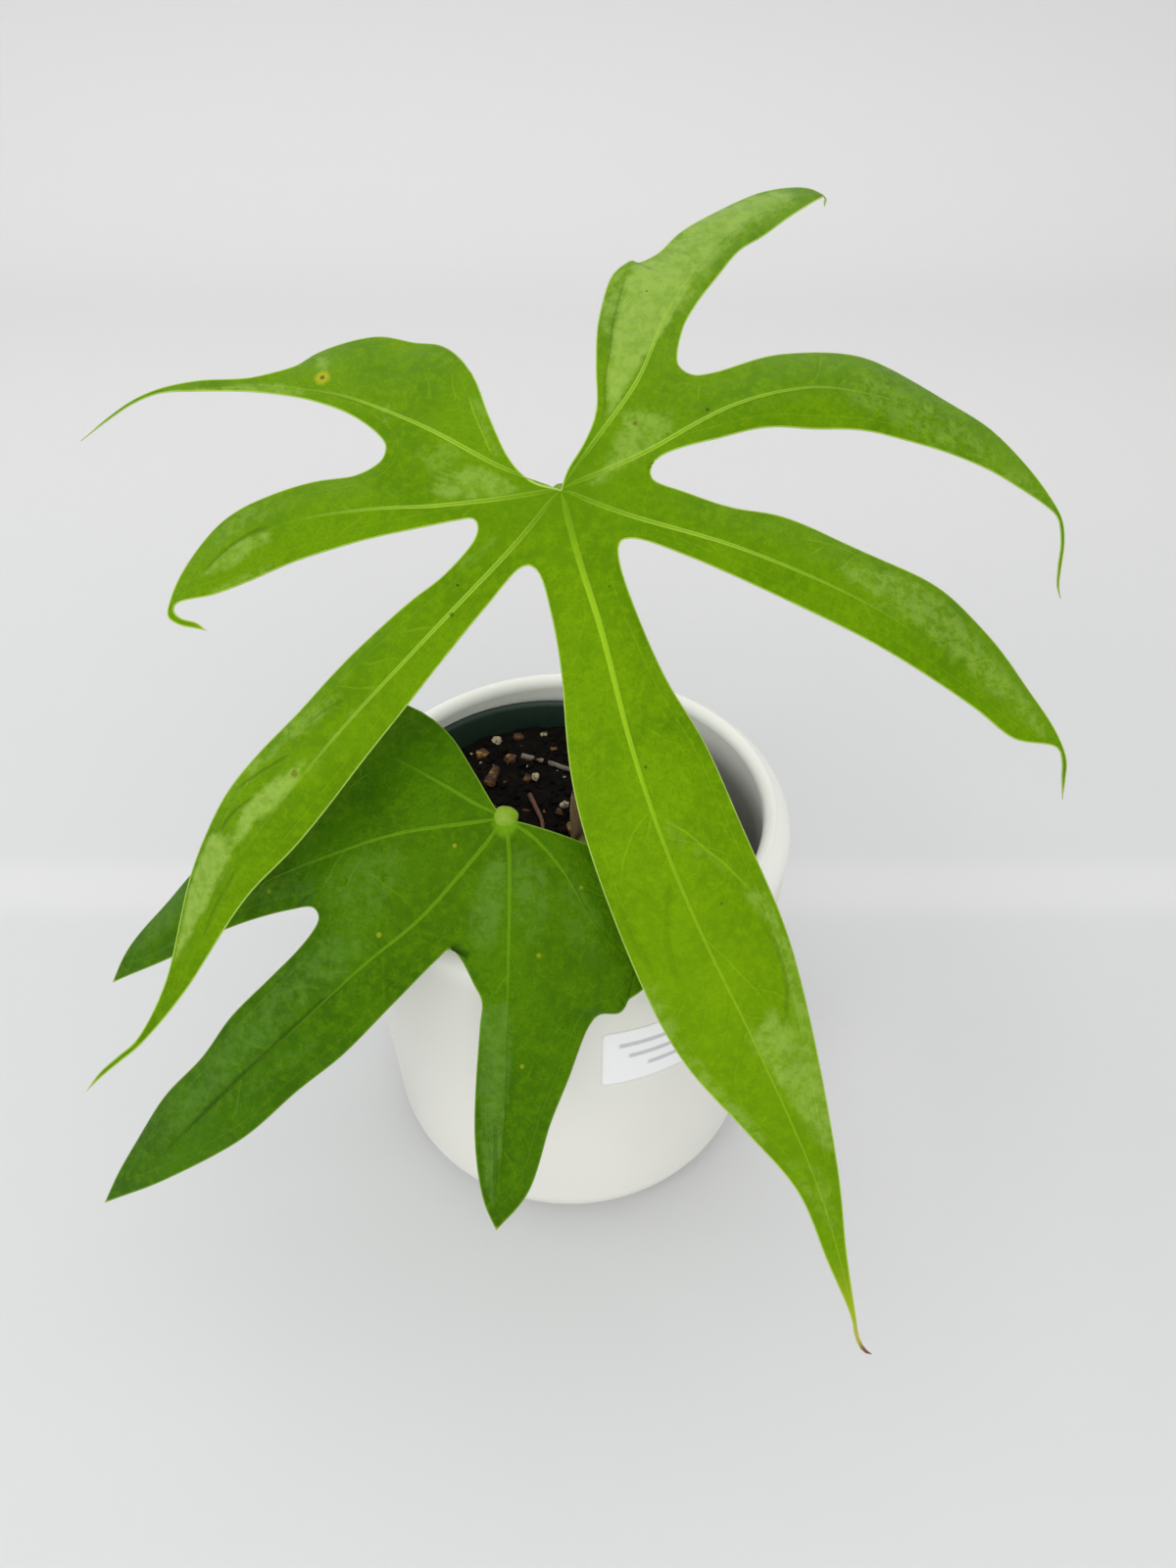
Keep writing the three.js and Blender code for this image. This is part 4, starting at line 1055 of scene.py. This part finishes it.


# %% [markdown]
# ## Where the leaves shine
# A waxy leaf shows pale patches where it mirrors the bright room. The patches in the picture have clear
# edges along ribs and folds. Each is an outline on the flat leaf with a strength and a soft border in
# millimetres; the finish paints it paler, as a painted reflection, makes it smoother, and breaks it up with fine
# mottling.

# %% Sheens
UPPER_LEAF["sheens"] = [
    (0.8, 1.6, [(17, 66), (14.5, 58), (12.5, 48.5), (11.5, 38.5), (10.5, 29), (10.5, 18), (12, 20), (17.5, 32),
                (22.5, 41), (28, 52), (31, 59), (28, 67), (22, 70)]),
    (0.75, 6, [(20, 52), (28, 51), (35.5, 67), (42, 80), (52, 92), (58, 99), (58, 107), (45, 100), (34, 89),
               (27, 78), (19, 69)]),
    (0.45, 1.2, [(16, 67), (13.5, 58), (12, 48.5), (11.5, 42.5), (9.5, 42), (9.5, 52.5), (11.5, 61.5)]),
    (0.55, 3, [(13.5, 18.5), (17.5, 21), (24.5, 20.5), (25.5, 16), (21, 11), (14.5, 6.5), (10, 2.5), (6, 1),
              (10.5, 6.5), (13, 13)]),
    (0.27, 5, [(72, 41), (81, 40), (90, 37.5), (98, 33.5), (106, 29), (114.5, 25), (120, 20), (118, 17.5),
              (109.5, 20.5), (101, 22.5), (93, 24.5), (85, 27), (77, 30), (69, 31.5), (68.5, 36)]),
    (0.4, 3.5, [(63, -10.5), (72.5, -10), (82, -10.5), (89.5, -13.5), (97, -20), (105, -27), (112.5, -34.5),
              (117, -41), (113.5, -39), (106.5, -35), (100, -32), (94.5, -28.5), (88, -25), (81.5, -21.5),
              (73, -18.5), (67, -15.5)]),
    (0.5, 1.2, [(40, -79), (45, -80), (49.5, -87), (54.5, -94), (56, -101.5), (58, -109), (54.5, -106.5),
              (52, -101), (50.5, -93.5), (46, -86.5)]),
    (0.55, 2.5, [(42, -106.5), (47.5, -103), (52, -105.5), (58, -109), (60, -115), (62, -120.5), (63, -128),
              (58.5, -125.5), (53.5, -120.5), (48.5, -116), (44.5, -111)]),
    (0.39, 1.2, [(17.5, -98.5), (21, -100), (24, -104.5), (27.5, -110), (35.5, -117), (44, -124),
              (47.5, -127.5), (43, -127.5), (37, -122), (30, -116), (24, -109.5), (19.5, -104)]),
    (0.15, 2, [(21.5, -68), (31, -73), (39, -78), (32, -77), (25, -73.5)]),
    (0.2, 2, [(51, -129.5), (58.5, -130), (62, -133.5), (63.5, -141.5), (58.5, -138.5), (53.5, -134)]),
    (0.35, 2, [(-63, -46), (-56.5, -43.5), (-50, -42), (-52.5, -45.5), (-58, -48.5), (-63.5, -51),
              (-68.5, -54.5), (-74.5, -58.5), (-78, -62), (-75.5, -57), (-71, -52), (-66, -48.5)]),
    (0.77, 1.5, [(-72.5, -62), (-67.5, -58.5), (-60.5, -55.5), (-57.5, -54), (-58.5, -57.5), (-63.5, -62.5),
              (-68.5, -64.5), (-72, -68), (-75, -70), (-74.5, -66)]),
    (0.77, 1.5, [(-79.5, -64.5), (-75, -67.5), (-74.5, -71), (-77.5, -75), (-80.5, -79.5), (-83.5, -83.5),
              (-87, -87), (-88.5, -89), (-86.5, -81), (-85, -74.5), (-82.5, -69.5)]),
    (0.2, 1.5, [(-53, -51.5), (-47, -46), (-42, -41.5), (-43, -43.5), (-48.5, -49.5), (-53, -54), (-58, -59),
              (-57, -55.5)]),
    (0.55, 1.2, [(-83.5, -9.5), (-80, -6), (-75, -3.5), (-69, -2.5), (-65.5, -3), (-68, -5), (-73, -7.5),
              (-77.5, -9.5), (-80.5, -10.5)]),
    (0.33, 0.8, [(-81, -14.5), (-74.5, -13.5), (-68.5, -12), (-64.5, -10.5), (-65, -9.5), (-70, -10.5),
              (-76, -12), (-81, -13.5)]),
    (0.23, 3, [(-81, 0.5), (-75.5, 4.5), (-69.5, 5.5), (-63.5, 4.5), (-65, 1), (-72, 0), (-79.5, -4.5)]),
    (0.26, 1, [(-20.5, 26), (-19, 23.5), (-16.5, 18.5), (-14.5, 13), (-13.5, 8), (-16, 9.5), (-18.5, 15.5),
              (-20.5, 20.5)]),
    (0.52, 1.5, [(-59.5, 42), (-57, 43), (-55, 41), (-55.5, 37.5), (-58, 38.5)]),
    (0.39, 1, [(-42, 23.5), (-40.5, 24.5), (-39.5, 21.5), (-40.5, 19.5), (-41.5, 20.5)]),
    (0.52, 1.5, [(-29.5, 1), (-26.5, 4.5), (-21.5, 6.5), (-17, 6), (-9.5, 1), (-12, -1), (-19, -1.5),
              (-26, -1)]),
    (0.26, 2, [(-32, 12.5), (-26.5, 14.5), (-23, 10), (-25, 6.5), (-30, 5.5), (-32.5, 9)]),
    (0.49, 1, [(-74.5, 38.5), (-70, 37.5), (-64, 35), (-60.5, 33), (-61, 31.5), (-67.5, 33.5), (-74.5, 35.5),
              (-84, 39), (-95.5, 43.5), (-96, 44.5), (-84, 40.5)]),
    (0.23, 2, [(-23, -16), (-17, -12), (-14, -10.5), (-16, -13.5), (-21, -17.5)]),
]
LOWER_LEAF["sheens"] = [
    (0.5, 3, [(-0.5, -6), (0.5, -13), (0, -21), (-2.5, -27.5), (-6, -29), (-8.5, -24), (-7, -17.5),
              (-4.5, -11)]),
    (0.43, 3, [(2, -7), (6, -7.5), (10, -12.5), (10, -21), (6.5, -27.5), (2.5, -24), (2, -16)]),
    (0.56, 1.2, [(-5.5, -40.5), (0.5, -39.5), (1.5, -47), (1, -54), (0, -62.5), (-2, -72.5), (-3, -78.5),
              (-5, -75), (-6, -65.5), (-6.5, -55.5), (-6, -47)]),
    (0.43, 5, [(-47.5, -24.5), (-38, -21), (-32.5, -25.5), (-39.5, -32), (-49, -36.5), (-59, -42.5), (-69, -48),
              (-80, -53), (-89, -56.5), (-84, -49), (-74.5, -42), (-63, -34), (-55, -28.5)]),
    (0.25, 3, [(-63, -49), (-55, -45.5), (-47.5, -42.5), (-43.5, -43), (-51.5, -47.5), (-59.5, -51.5),
              (-64.5, -52)]),
    (0.31, 5, [(-34.5, -4), (-26, -4.5), (-25, -13), (-30.5, -20.5), (-40, -21), (-43.5, -13.5)]),
    (0.28, 3, [(-59.5, -8), (-47.5, -8.5), (-40, -9), (-43.5, -13.5), (-55, -13), (-63, -12.5)]),
    (0.22, 4, [(13.5, -10), (19.5, -13.5), (22.5, -21.5), (21.5, -31), (16, -27), (12.5, -19)]),
    (0.22, 4, [(-97.5, -13), (-92, -6), (-84.5, -1.5), (-83, -7.5), (-91, -12)]),
]
print("sheens:", len(UPPER_LEAF["sheens"]), "and", len(LOWER_LEAF["sheens"]))

# %% [markdown]
# ## Creases and stray veins
# A few folds and crooked side veins catch the eye because no pattern makes them. They are finer than the
# mesh, so the finish draws them: each is an arc on the flat leaf, given by its two ends and its middle, with
# a half width and a strength, and is either a fold, darkened as painted shade in its crease, or a pale vein.

# %% Creases
UPPER_LEAF["creases"] = [
    ("dark", 0.4, 0.35, (16.5, 69.5), (11.5, 40), (9.5, 15)),
    ("pale", 0.35, 0.6, (-21.5, 26), (-19, 16.5), (-15, 8.5)),
    ("pale", 0.5, 0.5, (21.5, -68), (33, -74), (43.5, -80.5)),
    ("pale", 0.4, 0.35, (20.5, -67), (15.5, -73.5), (13.5, -81)),
    ("dark", 1.1, 0.2, (25, -78.5), (24, -90), (26.5, -100.5)),
    ("dark", 1.1, 0.2, (12.5, -83.5), (17, -91.5), (22.5, -99)),
    ("pale", 0.4, 0.3, (30.5, -89), (38.5, -95.5), (47, -101.5)),
    ("dark", 0.9, 0.25, (43, -84), (50.5, -94), (50, -105.5)),
    ("pale", 0.4, 0.3, (42, -108), (48, -111), (54.5, -112.5)),
    ("dark", 1.1, 0.15, (10.5, -43), (9, -54), (7.5, -64.5)),
    ("pale", 0.35, 0.35, (54.5, -6.5), (64, -5.5), (72.5, -8.5)),
    ("pale", 0.35, 0.35, (64, -11.5), (73, -10.5), (82.5, -9.5)),
    ("dark", 0.6, 0.5, (-74.5, -57.5), (-67.5, -54), (-59.5, -52.5)),
    ("dark", 0.6, 0.5, (-78.5, -65), (-74, -61.5), (-68.5, -59.5)),
    ("dark", 0.6, 0.4, (-47, -42.5), (-53, -44), (-58, -47)),
    ("dark", 0.5, 0.4, (-72.5, -72), (-77.5, -79), (-82, -86)),
    ("dark", 0.7, 0.5, (-83.5, -9), (-76, -3.5), (-65.5, -1.5)),
    ("dark", 0.5, 0.4, (-63.5, 34.5), (-54.5, 30.5), (-46, 25.5)),
]
LOWER_LEAF["creases"] = [
    ("dark", 0.8, 0.7, (-34, -30), (-60, -43.5), (-86.5, -56.5)),
    ("dark", 0.7, 0.4, (-2, -61.5), (-2.5, -70.5), (-3.5, -79.5)),
    ("pale", 0.6, 0.3, (-22, -19), (-28, -14), (-33.5, -8.5)),
    ("dark", 0.7, 0.4, (-44, -11.5), (-53.5, -13.5), (-64, -13)),
    ("pale", 0.5, 0.3, (-43.5, -34.5), (-49, -31.5), (-53.5, -32)),
]
print("creases:", len(UPPER_LEAF["creases"]), "and", len(LOWER_LEAF["creases"]))

# %% [markdown]
# ## Creases in the finish
# The finish first has to know where a point lies on the flat leaf, which undoes the lean of its surface.
# A crease is then the part of a circle's line that is near the crease's middle. The place is pushed about
# a little beforehand, so that no crease is a perfect arc.

# %% Crease lines
CREASE_WANDER = 1.6
ALMOST_STRAIGHT = 0.01


def flat_place(leaf, place):
    """Place on the flat leaf, in millimetres, worked out from the place on the piece and pushed about."""
    from_joint = moved(place, "SUBTRACT", Vector(leaf["joint"]) * MM)
    flat = moved(from_joint, "MULTIPLY", (1 / MM, 1 / MM / math.cos(math.radians(leaf["tilt"])), 0))
    cloud = add(place.id_data, "TexNoise", {"Vector": place, "Scale": 90.0, "Detail": 2.0}).outputs["Color"]
    push = moved(moved(cloud, "SUBTRACT", (0.5, 0.5, 0.5)), "MULTIPLY", (CREASE_WANDER,) * 3)
    return moved(flat, "ADD", push)


def circle_through(one, two, three):
    """Centre and radius of the circle through three points of the flat leaf."""
    turn = two - one
    reach = three - one
    twice_area = 2 * turn.cross(reach)
    if abs(twice_area) < ALMOST_STRAIGHT:
        twice_area = ALMOST_STRAIGHT
    across = Vector((reach.y, -reach.x)) * turn.length_squared - Vector((turn.y, -turn.x)) * reach.length_squared
    centre = one + across / twice_area
    return centre, (centre - one).length


def crease_share(leaf, kind, flat):
    """How much a point lies on one of the leaf's creases of one kind."""
    share = 0.0
    for crease_kind, half, strength, start, middle, end in leaf["creases"]:
        if crease_kind == kind:
            centre, radius = circle_through(Vector(start), Vector(middle), Vector(end))
            gap = between(far_from(flat, (*centre, 0)), radius)
            reach = (Vector(end) - Vector(start)).length / 2
            line = times(step(gap, half, half * 0.15), step(far_from(flat, (*middle, 0)), reach, reach * 0.6))
            share = maths("MAXIMUM", share, times(line, strength))
    return share


# %% [markdown]
# ## Veins, ribs and painted sheen in the finish
# These follow the readings that the blade builder stored on the mesh: how far a point is from the margin,
# the rib, the joint and the tip. Side veins run where the puffed panels of the mesh meet. A rib is a pale
# band with a paler line along each of its sides, and fades away before the tip.

# %% Veins, ribs and painted sheen
VEIN_HALF = 0.085
VEIN_WOBBLE = 1.6
EDGE_VEIN_PLACE = 3.0
RIB_SIDE = 0.85


def vein_share(place, offset, along, margin_gap):
    """How much a point lies on a side vein, or on the fine vein that follows the margin."""
    tree = place.id_data
    across = maths("ABSOLUTE", offset)
    lean = minus(times(across, VEIN_LEAN), times(times(across, across), VEIN_CURVE))
    wobble = times(minus(grain(tree, 60.0, place=place), 0.5), VEIN_WOBBLE)
    phase = plus(maths("DIVIDE", minus(along, lean), VEIN_SPACING), times(maths("GREATER_THAN", offset), 0.5))
    vein = step(maths("PINGPONG", plus(phase, wobble), 0.5), VEIN_HALF, 0.0)
    from_joint = step(along, 14.0, 36.0)
    patchy = step(grain(tree, 70.0, place=place), 0.5, 0.7)
    vein = times(times(vein, from_joint), times(step(margin_gap, 1.5, 4.0), patchy))
    edge_vein = times(step(between(margin_gap, EDGE_VEIN_PLACE), 0.3, 0.0), times(from_joint, 0.6))
    return maths("MAXIMUM", vein, edge_vein)


def rib_shares(look, rib_gap, along, tip, solid):
    """How much a point lies on the body of a rib, and how much on the lines along its sides."""
    root_fade = plus(times(step(along, 4.0, 30.0), 1 - look["rib_root"]), look["rib_root"])
    whole_way = maths("MAXIMUM", step(tip, look["rib_reach"], look["rib_reach"] * 0.35), times(solid, 0.5))
    rib_fade = times(whole_way, root_fade)
    body = times(step(rib_gap, 1.35, RIB_SIDE), times(rib_fade, plus(times(solid, 0.35), look["rib_body"])))
    line = times(step(between(rib_gap, RIB_SIDE), 0.42, 0.1), minus(1.0, times(solid, 0.75)))
    return body, times(line, times(rib_fade, look["rib_line"]))


def painted_sheen_share(place, sheen):
    """How much painted sheen a point gets: its sheen, broken up by fine mottling."""
    bare = minus(1.0, step(grain(place.id_data, 330.0, 4.0, 0.7, place), 0.38, 0.6))
    broken = times(times(minus(1.0, sheen), sheen), bare)
    return minus(minus(sheen, times(broken, 1.3)), times(times(sheen, 0.1), bare))


# %% [markdown]
# ## Leaf finish
# The fresh leaf is a saturated yellow-green, the old one a darker green. Three clouds of different sizes
# let the greens drift. Everything else is painted over that in layers, each with a share and a colour:
# veins, painted shade near the joint, a painted sheen, folds darkened as painted shade in their creases, ribs,
# a pale edge where light passes the thin margin, dried tips and a few specks.

# %% Leaf finish
RIPE_TIP = (0.36, 0.42, 0.02)
DRY_TIP = (0.42, 0.36, 0.07)
DEAD_TIP = (0.15, 0.055, 0.045)
DRY_TIP_RAMP = 0.014
FOLD_SHADE = 0.55
WAX_TINT = (0.65, 1.0, 0.05, 1)


def leaf_finish(name, leaf, look, marks):
    """The finish of a blade, from the readings on its mesh."""
    finish, tree, shader = new_finish(name)
    place = place_of(tree)
    readings = [add(tree, "Attribute", attribute_name=key).outputs["Fac"] for key in BLADE_READINGS]
    margin_gap, rib_gap, tip, sheen, solid = readings
    ribs_place = add(tree, "UVMap", uv_map="ribs").outputs["UV"]
    offset = times(minus(part_of(ribs_place, "X"), 0.5), RIBS_MAP_SIZE)
    along = times(part_of(ribs_place, "Y"), RIBS_MAP_SIZE)

    broad_cloud = grain(tree, 50.0, 3.0, 0.6, place)
    small_cloud = grain(tree, 420.0, 4.0, 0.65, place)
    tiny_cloud = grain(tree, 1500.0, 3.0, 0.6, place)
    dark_green, middle_green, light_green = look["greens"]
    veins = vein_share(place, offset, along, margin_gap)
    painted_sheen = painted_sheen_share(place, sheen)
    flat = flat_place(leaf, place)
    shaded_folds = crease_share(leaf, "dark", flat)
    stray_veins = crease_share(leaf, "pale", flat)
    rib_body, rib_line = rib_shares(look, rib_gap, along, tip, solid)
    dry_share = times(maths("MAXIMUM", solid, leaf["dry_tips"]), 0.85)
    paints = [
        (times(step(small_cloud, 0.42, 0.66), 0.6), light_green),
        (times(step(tiny_cloud, 0.45, 0.66), 0.55), dark_green),
        (times(veins, 0.28), look["rib"]),
        (times(minus(1.0, solid), leaf["shade"]), dark_green),
        (times(solid, times(step(along, 55.0, 110.0), 0.35)), light_green),
        # painted shade: the blade is darkened near the joint, where the ribs meet in a shaded hollow
        (times(step(along, 16.0, 3.0), 0.7 * (1 - look["rib_root"])), dark_green),
        # painted reflection: pale sheen patches where the leaf would mirror the bright room
        (times(painted_sheen, 0.92), look["painted_sheen"]),
        # painted shade: the folds are darkened as the shade in their creases
        (shaded_folds, tuple(FOLD_SHADE * value for value in dark_green)),
        (times(stray_veins, 0.8), look["rib"]),
        (rib_body, look["rib"]),
        (rib_line, look["edge"]),
        (times(step(margin_gap, 0.4, 0.15), 0.7), look["edge"]),
        (times(step(tip, 0.88, 0.955), times(solid, 0.6)), RIPE_TIP),
        (times(step(tip, leaf["dry_from"], leaf["dry_from"] + DRY_TIP_RAMP), dry_share), DRY_TIP),
        (times(step(tip, 0.975, 0.99), solid), DEAD_TIP),
    ]
    for x, y, size, colour, strength in marks:
        from_spot = plus(far_from(place, leaf_spot(leaf, x, y) * MM), times(small_cloud, size * 0.6 * MM))
        paints.append((times(step(from_spot, size * 1.25 * MM, size * 0.7 * MM), strength), colour))
    tone = mixed(step(broad_cloud, 0.36, 0.64), dark_green, middle_green)
    for share, colour in paints:
        tone = mixed(share, tone, colour)

    roughness = minus(ranged(small_cloud, look["gloss"], look["gloss"] + 0.14), times(painted_sheen, 0.1))
    rise = plus(times(grain(tree, 170.0, 3.0, 0.55, place), 1.6), times(small_cloud, 0.5))
    rise = minus(rise, plus(times(veins, 0.35), times(shaded_folds, 1.2)))
    rise = plus(rise, times(stray_veins, 0.6))
    coated(shader, tone, roughness, rise, 0.5, 0.0008, specular=0.4)
    shader.inputs["Specular Tint"].default_value = WAX_TINT
    return finish


# %% Specks on the leaves
BROWN = (0.10, 0.045, 0.012)
TAN = (0.33, 0.24, 0.07)
DARK = (0.02, 0.025, 0.006)
YELLOW = (0.42, 0.40, 0.02)
PALE_JOINT = (0.12, 0.27, 0.006)
UPPER_MARKS = [
    (20.2, 56.6, 0.7, DARK, 0.7), (17, 17.2, 0.8, BROWN, 0.6), (33.9, 22.5, 0.55, DARK, 0.9),
    (51.2, 21.8, 0.7, DARK, 0.85), (58.3, 24.1, 0.8, TAN, 0.8), (-59.9, -56.6, 1.1, BROWN, 0.6),
    (-23.1, -21.1, 0.5, DARK, 0.9), (-24.3, -27.5, 0.7, DARK, 0.7), (-56.6, 35.6, 2.6, YELLOW, 0.7),
    (-56.6, 35.6, 0.9, BROWN, 0.9), (19, -59, 0.45, DARK, 0.8), (36, -84, 0.7, DARK, 0.5),
    (11, -22, 0.4, DARK, 0.7),
]
LOWER_MARKS = [
    (0, -1.2, 4.2, PALE_JOINT, 0.9),
    (-12, -6, 0.7, YELLOW, 0.5), (8, -30, 0.8, YELLOW, 0.4), (-30, -24, 0.9, YELLOW, 0.45),
    (-42, -36, 0.7, YELLOW, 0.4), (4, -52, 0.7, YELLOW, 0.4), (-60, -44, 0.9, YELLOW, 0.4),
    (-58, -9, 0.8, YELLOW, 0.35), (18, -15, 0.7, YELLOW, 0.35),
]

# %% Both leaf finishes
FRESH_LOOK = {"greens": [(0.070, 0.175, 0.0004), (0.112, 0.24, 0.0005), (0.150, 0.290, 0.0008)],
              "rib": (0.25, 0.44, 0.008), "edge": (0.46, 0.62, 0.13), "painted_sheen": (0.29, 0.43, 0.075),
              "rib_body": 0.6, "rib_line": 0.4, "rib_reach": 0.7, "rib_root": 0.3, "gloss": 0.34}
DARK_LOOK = {"greens": [(0.022, 0.088, 0.0004), (0.040, 0.135, 0.0005), (0.070, 0.170, 0.0008)],
             "rib": (0.115, 0.265, 0.005), "edge": (0.20, 0.34, 0.04), "painted_sheen": (0.10, 0.215, 0.035),
             "rib_body": 0.6, "rib_line": 0.1, "rib_reach": 0.75, "rib_root": 1.0, "gloss": 0.38}
fresh_leaf = leaf_finish("fresh_leaf", UPPER_LEAF, FRESH_LOOK, UPPER_MARKS)
dark_leaf = leaf_finish("dark_leaf", LOWER_LEAF, DARK_LOOK, LOWER_MARKS)
print("specks:", len(UPPER_MARKS), "and", len(LOWER_MARKS))

# %% Both blades
blade("fresh_leaf_blade", UPPER_LEAF, fresh_leaf, "upper_blade")
blade("dark_leaf_blade", LOWER_LEAF, dark_leaf, "lower_blade")

# %% [markdown]
# ## Stalks
# A stalk is a long, even, slightly tapering tube that ends under the joint of its leaf. The upper one meets
# the blade square to its underside. The lower one swells into a pale knuckle, the elbow with which a leaf
# of this family turns to the light, and the knuckle shows from above as a small pale knob between the ribs.

# %% Stalk finish
KNUCKLE = (-14.2, -39.9, 158.6)

stalk_skin, tree, shader = new_finish("stalk_skin")
streak = grain(tree, (900, 900, 60), 3.0)
stalk_tone = mixed(streak, (0.13, 0.26, 0.02), (0.22, 0.36, 0.06))
stalk_tone = mixed(step(grain(tree, 420.0), 0.62, 0.72), stalk_tone, (0.33, 0.42, 0.12))
near_knuckle = step(far_from(place_of(tree), Vector(KNUCKLE) * MM), 5.0 * MM, 3.0 * MM)
knuckle_tone = mixed(grain(tree, 700.0, 3.0), (0.14, 0.29, 0.004), (0.28, 0.42, 0.010))
stalk_tone = mixed(times(near_knuckle, 0.9), stalk_tone, knuckle_tone)
coated(shader, stalk_tone, 0.42, streak, 0.25, 0.0004, specular=0.3)

# %% Both stalks
UPPER_ROUTE = [(10.2, -8.4, 121.5), (11, -7, 145), (9.5, 1, 175), (4.5, 8.5, 200),
               under_joint(UPPER_LEAF, 10), under_joint(UPPER_LEAF, 0.9)]
LOWER_ROUTE = [(4, -15, 117.4), (-1.5, -22.3, 119.5), (-7.5, -29.5, 127), (-12.3, -36.8, 142),
               (-14.1, -40.2, 157.6)]
STALK_RADIUS = 1.9
KNUCKLE_RADIUS = 2.3
KNOB_RADII = (3.1, 2.8, 1.7)
KNOB_ROUGHNESS = 0.1


def upper_radius(share):
    """Radius of the upper stalk: thick at its foot, thinner upwards, and wider again under the leaf."""
    return STALK_RADIUS * (1.0 + 0.12 * (1 - fade(share, 0, 0.12)) - 0.28 * share + 0.32 * fade(share, 0.93, 1))


def lower_radius(share):
    """Radius of the lower stalk, with the knuckle near its end."""
    knuckle = fade(share, 0.90, 0.955) * (1 - 0.5 * fade(share, 0.985, 1))
    return STALK_RADIUS * (1.02 - 0.2 * share) + (KNUCKLE_RADIUS - STALK_RADIUS * 0.82) * knuckle


def stalk(name, route, radius_at, node, knob=None):
    """One stalk. A knob is the matrix that shapes and places a ball at its end."""
    shape = bmesh.new()
    length = swept(shape, route, radius_at, 90, sides=24).length
    if knob:
        ball = bmesh.ops.create_uvsphere(shape, u_segments=32, v_segments=20, radius=1)["verts"]
        for vert in ball:
            vert.co *= 1 + KNOB_ROUGHNESS * noise.noise(vert.co * 1.7 + Vector((5.3, 0, 0)))
        bmesh.ops.transform(shape, matrix=knob, verts=ball)
    outwards(shape)
    piece(name, shape, stalk_skin, [node])
    print(name, "is", round(length), "mm long")


stalk("upper_leaf_stalk", UPPER_ROUTE, upper_radius, "upper_stalk")
knob_shape = (Matrix.Translation(Vector(KNUCKLE) * MM) @ Matrix.Rotation(math.radians(LOWER_LEAF["tilt"]), 4, "X")
              @ Matrix.Diagonal((*(radius * MM for radius in KNOB_RADII), 1)))
stalk("lower_leaf_stalk", LOWER_ROUTE, lower_radius, "lower_stalk", knob_shape)

# %% [markdown]
# ## Sticker
# A small white paper sticker wraps a little way round the pot. It is a grid that is bent to the wall
# and given the thickness of paper, with rounded corners. It carries three plain ruled lines.

# %% Sticker finish
RULED_LINES = [(0.74, 0.10, 0.80), (0.52, 0.16, 0.74), (0.30, 0.28, 0.66)]
LINE_HALF = 0.055
LINE_END = 0.012

sticker, tree, shader = new_finish("white_sticker")
fibre = grain(tree, 1600.0, 3.0, 0.6)
sticker_tone = mixed(fibre, (0.93, 0.94, 0.94), (0.98, 0.98, 0.98))
sheet_place = add(tree, "UVMap", uv_map="sheet").outputs["UV"]
from_left, from_below = part_of(sheet_place, "X"), part_of(sheet_place, "Y")
for height, start, end in RULED_LINES:
    level = step(between(from_below, height), LINE_HALF, 0.02)
    begun = step(from_left, start - LINE_END, start + LINE_END)
    not_over = step(from_left, end + LINE_END, end - LINE_END)
    sticker_tone = mixed(times(times(times(level, begun), not_over), 0.55), sticker_tone, (0.30, 0.31, 0.33))
coated(shader, sticker_tone, 0.5, fibre, 0.1, 0.0003)

# %% Sticker shape
STICKER_ANGLES = (-81.5, -38)
STICKER_HEIGHTS = (77.5, 101.5)
STICKER_THICKNESS = 0.2
STICKER_CORNER = 1.6
STICKER_GAP = 0.02
STRAIGHT_WALL = POT_HEIGHT - POT_WALL / 2 - POT_MIDDLE_HEIGHT


def wall_radius(height):
    """Outer radius of the cover pot's straight wall at a height."""
    return POT_MIDDLE + (POT_RIM - POT_MIDDLE) * (height - POT_MIDDLE_HEIGHT) / STRAIGHT_WALL


shape = bmesh.new()
sheet_map = shape.loops.layers.uv.new("sheet")
bmesh.ops.create_grid(shape, x_segments=48, y_segments=26, size=1)
wall = wall_radius(90)
half_long = math.radians(STICKER_ANGLES[1] - STICKER_ANGLES[0]) / 2 * wall
half_high = (STICKER_HEIGHTS[1] - STICKER_HEIGHTS[0]) / 2
sheet = {}
for vert in shape.verts:
    u, v = vert.co.x, vert.co.y
    x, y = abs(u) * half_long, abs(v) * half_high
    over_x = max(x - (half_long - STICKER_CORNER), 0)
    over_y = max(y - (half_high - STICKER_CORNER), 0)
    if over_x > 0 and over_y > 0:
        pull = max(over_x, over_y) / math.hypot(over_x, over_y)
        x += over_x * (pull - 1)
        y += over_y * (pull - 1)
    height = sum(STICKER_HEIGHTS) / 2 + math.copysign(y, v)
    angle = math.radians(sum(STICKER_ANGLES) / 2) + math.copysign(x, u) / wall
    radius = wall_radius(height) + STICKER_GAP
    sheet[vert] = ((u + 1) / 2, (v + 1) / 2)
    vert.co = Vector((radius * math.cos(angle), radius * math.sin(angle), height)) * MM
for face in shape.faces:
    for loop in face.loops:
        loop[sheet_map].uv = sheet[loop.vert]
for vert in corners_of(bmesh.ops.extrude_face_region(shape, geom=list(shape.faces))["geom"]):
    vert.co += Vector((vert.co.x, vert.co.y, 0)).normalized() * STICKER_THICKNESS * MM
outwards(shape)
piece("paper_sticker", shape, sticker, ["label"])
print("sticker is", round(2 * half_long), "by", round(2 * half_high), "mm")
